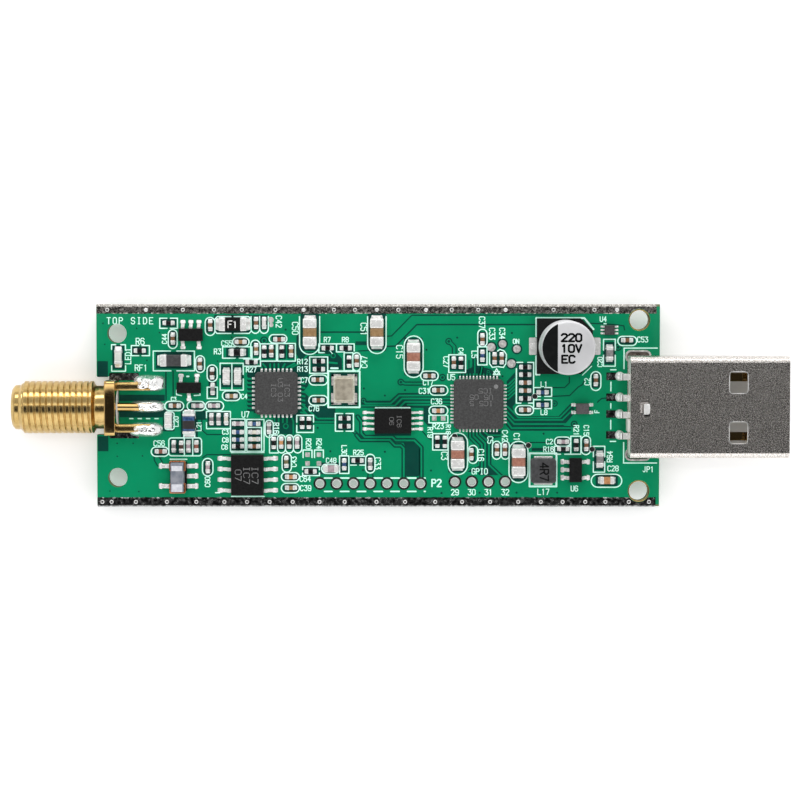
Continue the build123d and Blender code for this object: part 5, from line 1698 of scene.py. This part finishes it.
for points in (
    [(9.5, 3.3), (14.55, 3.3), (13.4, 4.35), (11.8, 4.75), (11.2, 4.6), (9.6, 3.85)],
    rectangle(11.2, 11.75, 4.5, 5.9), [(15.3, -1.0), (16.3, 0.2), (16.3, 4.0), (15.3, 2.9)],
):
    bare_area(points)
for place in range(12):
    x = 9.75 + 0.4 * place
    strip([(x, 3.3), (x, 3.75)], 0.18)
for place in range(5):
    y = 2.5 - 0.42 * place
    strip([(15.1, y), (15.5, y), (16.3, y + 0.75)], 0.18)
trace([(11.5, 3.7), (11.5, 5.6)], 0.16, 0.12)
trace([(12.2, 3.7), (12.35, 4.6)], 0.16, 0.12)
ringed_via(13.1, 4.05, 0.2)
bare_area([
    (15.2, 0.3), (15.2, -2.3), (15.8, -3.0), (23.0, -3.0), (23.0, -2.45), (22.1, -2.4), (23.3, -1.0),
    (23.3, 0.2), (22.85, 0.2), (21.5, -1.25), (16.9, -1.25), (16.2, -0.9), (15.9, 0.3),
])
strip([(15.1, 0.1), (15.6, -0.3), (16.7, -1.42), (21.65, -1.42), (23.0, -0.05)], 0.18)
strip([(15.1, -0.45), (16.25, -1.7), (21.95, -1.7), (23.1, -0.55)], 0.18)
strip([(15.1, -1.0), (16.2, -2.2), (22.4, -2.2)], 0.2)
strip([(15.1, -1.6), (15.9, -2.68), (22.9, -2.68)], 0.2)
ringed_via(23.35, -2.2, 0.28)
bare_area([
    (10.7, -3.0), (14.6, -3.0), (14.6, -3.75), (13.65, -3.9), (13.5, -4.7), (13.5, -7.0), (14.9, -8.3),
    (14.2, -8.3), (12.1, -8.3), (11.6, -8.0), (10.4, -7.9), (9.9, -8.6), (9.7, -8.3), (11.0, -7.3),
    (11.75, -7.2), (11.75, -4.9), (10.7, -3.9),
])
for points in (
    [(10.95, -3.1), (10.95, -3.8), (11.95, -4.8), (11.95, -7.1), (11.0, -7.5), (9.8, -8.45)],
    [(11.35, -3.1), (11.35, -3.65), (12.35, -4.65), (12.35, -7.4), (11.6, -8.3)],
    [(11.75, -3.1), (11.75, -3.5), (12.75, -4.5), (12.75, -8.4)],
    [(12.15, -3.1), (12.15, -3.4), (13.2, -4.4), (13.2, -7.05), (14.65, -8.45)],
    [(12.6, -3.1), (13.1, -3.55), (14.5, -3.55)],
):
    strip(points, 0.2)
gap([(18.1, -4.4), (20.9, -4.4)])
bare_area(rectangle(18.3, 20.9, -5.4, -5.05))
pill(11.85, 12.95, 7.0, 9.1)
frame_box(11.85, 12.95, 4.85, 7.0)
for args in (
    ("C37", 12.35, 9.9, 0.75, -90), ("C33", 13.55, 8.55, 0.75, -90), ("C34", 14.75, 8.6, 0.7, -90),
    ("L5", 11.45, 6.1, 0.7, -90),
):
    word(*args)
for x, y, radius in ((13.45, 6.95, 0.5), (14.8, 7.35, 0.45), (16.5, 6.75, 0.45), (15.85, 5.0, 0.5)):
    test_point(x, y, radius)
word("ON", 16.4, 7.65, 0.6)
silk([
    (13.25, 6.3), (13.25, 5.0), (13.6, 4.55), (14.2, 4.65), (14.25, 4.65), (14.9, 4.55), (15.2, 5.0),
    (15.2, 5.6),
])
silk([(14.2, 6.5), (14.5, 6.7), (15.0, 6.5), (15.25, 6.1), (15.25, 5.5)])
silk([(13.75, 4.05), (14.45, 4.05), (14.1, 3.65), (13.75, 4.05)], 0.13)
for points in (
    [(16.5, 5.15), (17.2, 5.15)], [(17.8, 5.15), (18.5, 5.15), (18.5, 0.3), (17.9, 0.3)],
    [(17.0, 0.3), (16.45, 0.3), (16.45, 4.4)],
):
    silk(points)
pill(16.35, 18.5, -1.1, 0.0)
frame_box(18.5, 20.65, 1.1, 2.15, gap_x=0.5)
frame_box(18.5, 20.65, -0.35, 0.7, gap_x=0.5)
word("L1", 19.75, 2.55, 0.65)
word("L8", 19.75, -0.8, 0.65)
ringed_via(21.0, 0.25, 0.25)
pill(10.75, 11.85, -6.9, -4.75)
word("C16", 12.25, -5.9, 0.75, -90)
pill(13.62, 14.62, -6.4, -4.25)
pill(14.68, 15.62, -6.4, -4.25)
word("C5", 13.35, -4.1, 0.7, -90)
word("C42", 15.1, -3.6, 0.7, -90)
pill(15.6, 17.85, -9.2, -4.25)
bare_area(turned(rounded_outline(1.5, 0.5, 0.2), 16.7, -8.75, 0))
word("C1", 16.5, -3.75, 0.75, -90)
pill(21.0, 22.95, -4.85, -3.75)
frame_box(21.0, 22.95, -5.8, -4.85, gap_x=0.5)
word("C2", 20.4, -4.3, 0.65)
word("R16", 20.3, -5.2, 0.65)
frame_box(22.95, 24.15, -5.8, -3.65)
word("R21", 23.6, -2.95, 0.65, -90)
word("GPIO", 12.1, -7.85, 0.75)
for x, name in ((9.15, "29"), (11.15, "30"), (13.15, "31"), (15.15, "32")):
    word(name, x, -10.35, 0.75)
# tinned vias whose holes are filled with near black: painted shade
for x, y in ((9.1, -3.65), (17.9, -4.75), (25.5, -5.2), (18.65, 1.1)):
    lathe(via_layer, [(0.36, LAYER_FOOT), (0.36, TOP + 0.01)], (x, y), TIN, 18)
    lathe(via_layer, [(0.31, LAYER_FOOT), (0.31, TOP + 0.024)], (x, y), PAINTED_HOLE_SHADE, 18)

# ---------------------------------------------------------------- around the electrolytic capacitor

for points in (
    [(18.8, 3.7), (18.8, 5.9)], [(18.8, 8.25), (18.8, 10.42), (24.5, 10.42), (25.6, 9.1)],
    [(18.8, 3.7), (19.2, 3.7)],
):
    silk(points, 0.22)
frame_box(18.05, 21.25, -9.65, -5.7, width=0.22)
word("L17", 19.7, -10.3, 0.75)
word("U4", 26.75, 10.3, 0.65)
silk([(26.85, 9.75), (27.1, 9.75)])
frame_box(26.8, 28.2, 4.7, 7.9, gap_y=0.6)
word("C20", 26.4, 5.2, 0.62, 90)
pill(25.3, 26.5, 1.8, 4.05)
word("C2", 24.88, 2.85, 0.68, 90)
silk([(25.4, 4.7), (24.3, 3.62)], 0.1)
pill(28.5, 30.75, 7.15, 8.25)
ringed_via(28.55, 6.95, 0.3)
word("F", 26.05, -0.7, 0.6, 90)
word("C15", 24.8, -2.95, 0.65, -90)
pill(24.2, 25.3, -5.85, -3.6)
frame_box(25.65, 27.0, -7.95, -4.85, gap_y=0.6)
for points in (
    [(22.75, 3.4), (22.75, 2.7), (22.2, 2.15), (20.6, 2.15)],
    [(24.5, 2.9), (24.3, 2.5), (23.8, 2.2), (22.8, 1.2), (20.7, 1.1)],
    [(25.0, 9.8), (26.7, 9.75), (28.6, 9.6), (29.2, 9.5), (29.3, 9.0)],
    [(27.1, 0.9), (26.6, 0.85), (26.1, 0.4)],
):
    gap(points)
for args in (
    ("C53", 31.45, 7.87, 0.68), ("U6", 23.4, -9.9, 0.7), ("R64", 27.6, -6.1, 0.7, 90),
    ("C28", 28.0, -7.5, 0.7), ("JP1", 32.2, -7.6, 0.7),
):
    word(*args)
pill(25.4, 29.05, -9.75, -8.2)
# the pads behind the plug take the darker copy of the rail solder: painted shade
for y in (3.5, 1.0, -1.0, -3.5):
    flat_pad(27.15, 28.3, y - 0.45, y + 0.45, SHADED_RAIL_TIN, 0.03)
# the plug's slots: a tinned lip on the board and solder round the tab inside, coloured dark as painted shade
# in the slot
for slot_y in (SLOT_Y, -SLOT_Y):
    inner = rounded_outline(2.66, 1.06, 0.48, 6)
    prism(pad_layer, turned(inner, SLOT_X, slot_y, 0), 0.12, TOP - 0.14, SHADED_SLOT_SOLDER)
    lip = []
    for grow, level in ((0.22, LAYER_FOOT), (0.22, TOP + 0.02), (0.0, TOP + 0.02), (0.0, LAYER_FOOT)):
        shape = rounded_outline(2.7 + 2 * grow, 1.1 + 2 * grow, 0.5 + grow, 6)
        lip.append([(x, y, level) for x, y in turned(shape, SLOT_X, slot_y, 0)])
    hoop(pad_layer, lip, WORN_TIN)
silk([(33.2, 6.85), (29.25, 6.85), (29.25, 4.4)])
flat_pad(25.3, 26.45, 6.05, 8.1, TIN, 0.15)
flat_pad(17.95, 18.85, 6.05, 8.1, TIN, 0.1)
for hole in MOUNT_HOLES[2:]:
    ring_plate(pad_layer, hole, MOUNT_RADIUS, MOUNT_RADIUS + 0.13, LAYER_FOOT, TOP + 0.02, GOLD, 40)
silk([(33.2, -6.85), (29.25, -6.85), (29.25, -4.4)])
for y0, y1 in ((2.8, 1.75), (0.25, -0.3), (-1.75, -2.8)):
    silk([(27.7, y0), (27.7, y1)])
for y in (4.27, -4.27):
    silk([(27.65, y), (28.3, y)])
silk([(13.7, 3.7), (14.5, 3.7), (14.1, 4.4), (13.7, 3.7)])

laminate_layer.build("bare_laminate_areas", "board")
trace_layer.build("copper_tracks", "board")
silk_layer.build("board_markings", "white_plastic")
via_layer.build("vias", "tin_plating", smooth=50)
pad_layer.build("pads_and_solder", "solder", smooth=50)
marks.build("package_markings", "black_mould")


# ---------------------------------------------------------------- camera, floor and light


def make_camera():
    data = bpy.data.cameras.new("camera")
    data.lens = 113.4
    data.sensor_width = 36.0
    data.clip_start = 0.01
    data.clip_end = 5.0
    thing = bpy.data.objects.new("camera", data)
    # tilted by three degrees, 300 mm from the point (2.6, 0.67) on the board's upper face
    thing.location = (2.6 * MM, 16.37 * MM, (TOP + 299.6) * MM)
    thing.rotation_euler = (math.radians(-3), 0, 0)
    bpy.context.scene.collection.objects.link(thing)
    bpy.context.scene.camera = thing


def make_floor():
    mat, nodes, links, shader = new_material("floor_white")
    texture = noise(nodes, links, 20, 1.0)
    colour = tone(nodes, links, texture.outputs["Fac"], (0.93,) * 3, (0.96,) * 3, 0.35, 0.65)
    links.new(colour, shader.inputs["Base Color"])
    shader.inputs["Roughness"].default_value = 0.9
    shader.inputs["Emission Color"].default_value = (1, 1, 1, 1)
    shader.inputs["Emission Strength"].default_value = 0.3
    mesh = bpy.data.meshes.new("floor")
    level = cad_low.z / MM - 0.05
    corners = rectangle(-2000, 2000, -2000, 2000)
    mesh.from_pydata([(x * MM, y * MM, level * MM) for x, y in corners], [], [[0, 1, 2, 3]])
    mesh.materials.append(mat)
    thing = bpy.data.objects.new("floor", mesh)
    bpy.context.scene.collection.objects.link(thing)


def make_world():
    """Soft light all round, with a dark strip overhead where the camera stands."""
    world = bpy.data.worlds.new("studio")
    bpy.context.scene.world = world
    world.use_nodes = True
    nodes = world.node_tree.nodes
    links = world.node_tree.links
    background = nodes["Background"]
    coordinates = nodes.new("ShaderNodeTexCoord")
    split = nodes.new("ShaderNodeSeparateXYZ")
    links.new(coordinates.outputs["Generated"], split.inputs["Vector"])

    def angle_from_zenith(axis):
        """The direction's angle from straight up, in degrees, seen along the other level axis."""
        angle = nodes.new("ShaderNodeMath")
        angle.operation = "ARCTAN2"
        links.new(split.outputs[axis], angle.inputs[0])
        links.new(split.outputs["Z"], angle.inputs[1])
        degrees = nodes.new("ShaderNodeMath")
        degrees.operation = "MULTIPLY"
        degrees.inputs[1].default_value = 180 / math.pi
        links.new(angle.outputs[0], degrees.inputs[0])
        return degrees.outputs[0]

    def profile(degrees, stops):
        """Brightness along an angle: stops are (degrees, value) from -180 to 180."""
        ranged = nodes.new("ShaderNodeMapRange")
        ranged.inputs["From Min"].default_value = -180
        ranged.inputs["From Max"].default_value = 180
        links.new(degrees, ranged.inputs["Value"])
        ramp = nodes.new("ShaderNodeValToRGB")
        elements = ramp.color_ramp.elements
        elements[0].position = (stops[0][0] + 180) / 360
        elements[0].color = (stops[0][1],) * 3 + (1,)
        elements[1].position = (stops[-1][0] + 180) / 360
        elements[1].color = (stops[-1][1],) * 3 + (1,)
        for place, value in stops[1:-1]:
            element = elements.new((place + 180) / 360)
            element.color = (value,) * 3 + (1,)
        links.new(ranged.outputs["Result"], ramp.inputs["Fac"])
        return ramp.outputs["Color"]

    # across the board: dark from -20 to 10 degrees, with bright bands at 12 to 17 and 56 to 61
    across_stops = [(-120, 0.3), (-80, 0.5), (-62, 0.98), (-23, 0.98), (-20, 0.03), (10, 0.03)]
    across_stops += [(12, 2.4), (17, 2.4), (20, 0.58), (53, 0.58), (56, 1.3), (61, 1.3)]
    across_stops += [(65, 0.72), (80, 0.4), (120, 0.3)]
    across = profile(angle_from_zenith("Y"), across_stops)
    # along the board, the strip fades out between 30 and 38 degrees
    along_stops = [(-90, 0.0), (-38, 0.0), (-30, 1.0), (30, 1.0), (38, 0.0), (90, 0.0)]
    along = profile(angle_from_zenith("X"), along_stops)
    mix = nodes.new("ShaderNodeMix")
    mix.data_type = "RGBA"
    links.new(along, mix.inputs["Factor"])
    mix.inputs["A"].default_value = (0.92, 0.92, 0.92, 1)
    links.new(across, mix.inputs["B"])
    links.new(mix.outputs["Result"], background.inputs["Color"])
    background.inputs["Strength"].default_value = 1.0


def soft_light(name, position, target, size_x, size_y, power):
    data = bpy.data.lights.new(name, "AREA")
    data.shape = "RECTANGLE"
    data.size = size_x * MM
    data.size_y = size_y * MM
    data.energy = power
    thing = bpy.data.objects.new(name, data)
    thing.location = Vector(position) * MM
    direction = Vector(target) * MM - thing.location
    thing.rotation_euler = direction.to_track_quat("-Z", "Y").to_euler()
    bpy.context.scene.collection.objects.link(thing)


make_camera()
make_floor()
make_world()
soft_light("upper_softbox", (0, 375, 210), (0, 0, 0), 420, 110, 0.66)
soft_light("lower_softbox", (0, -380, 260), (0, 0, 0), 700, 500, 0.6)
scene = bpy.context.scene
scene.view_settings.view_transform = "Standard"
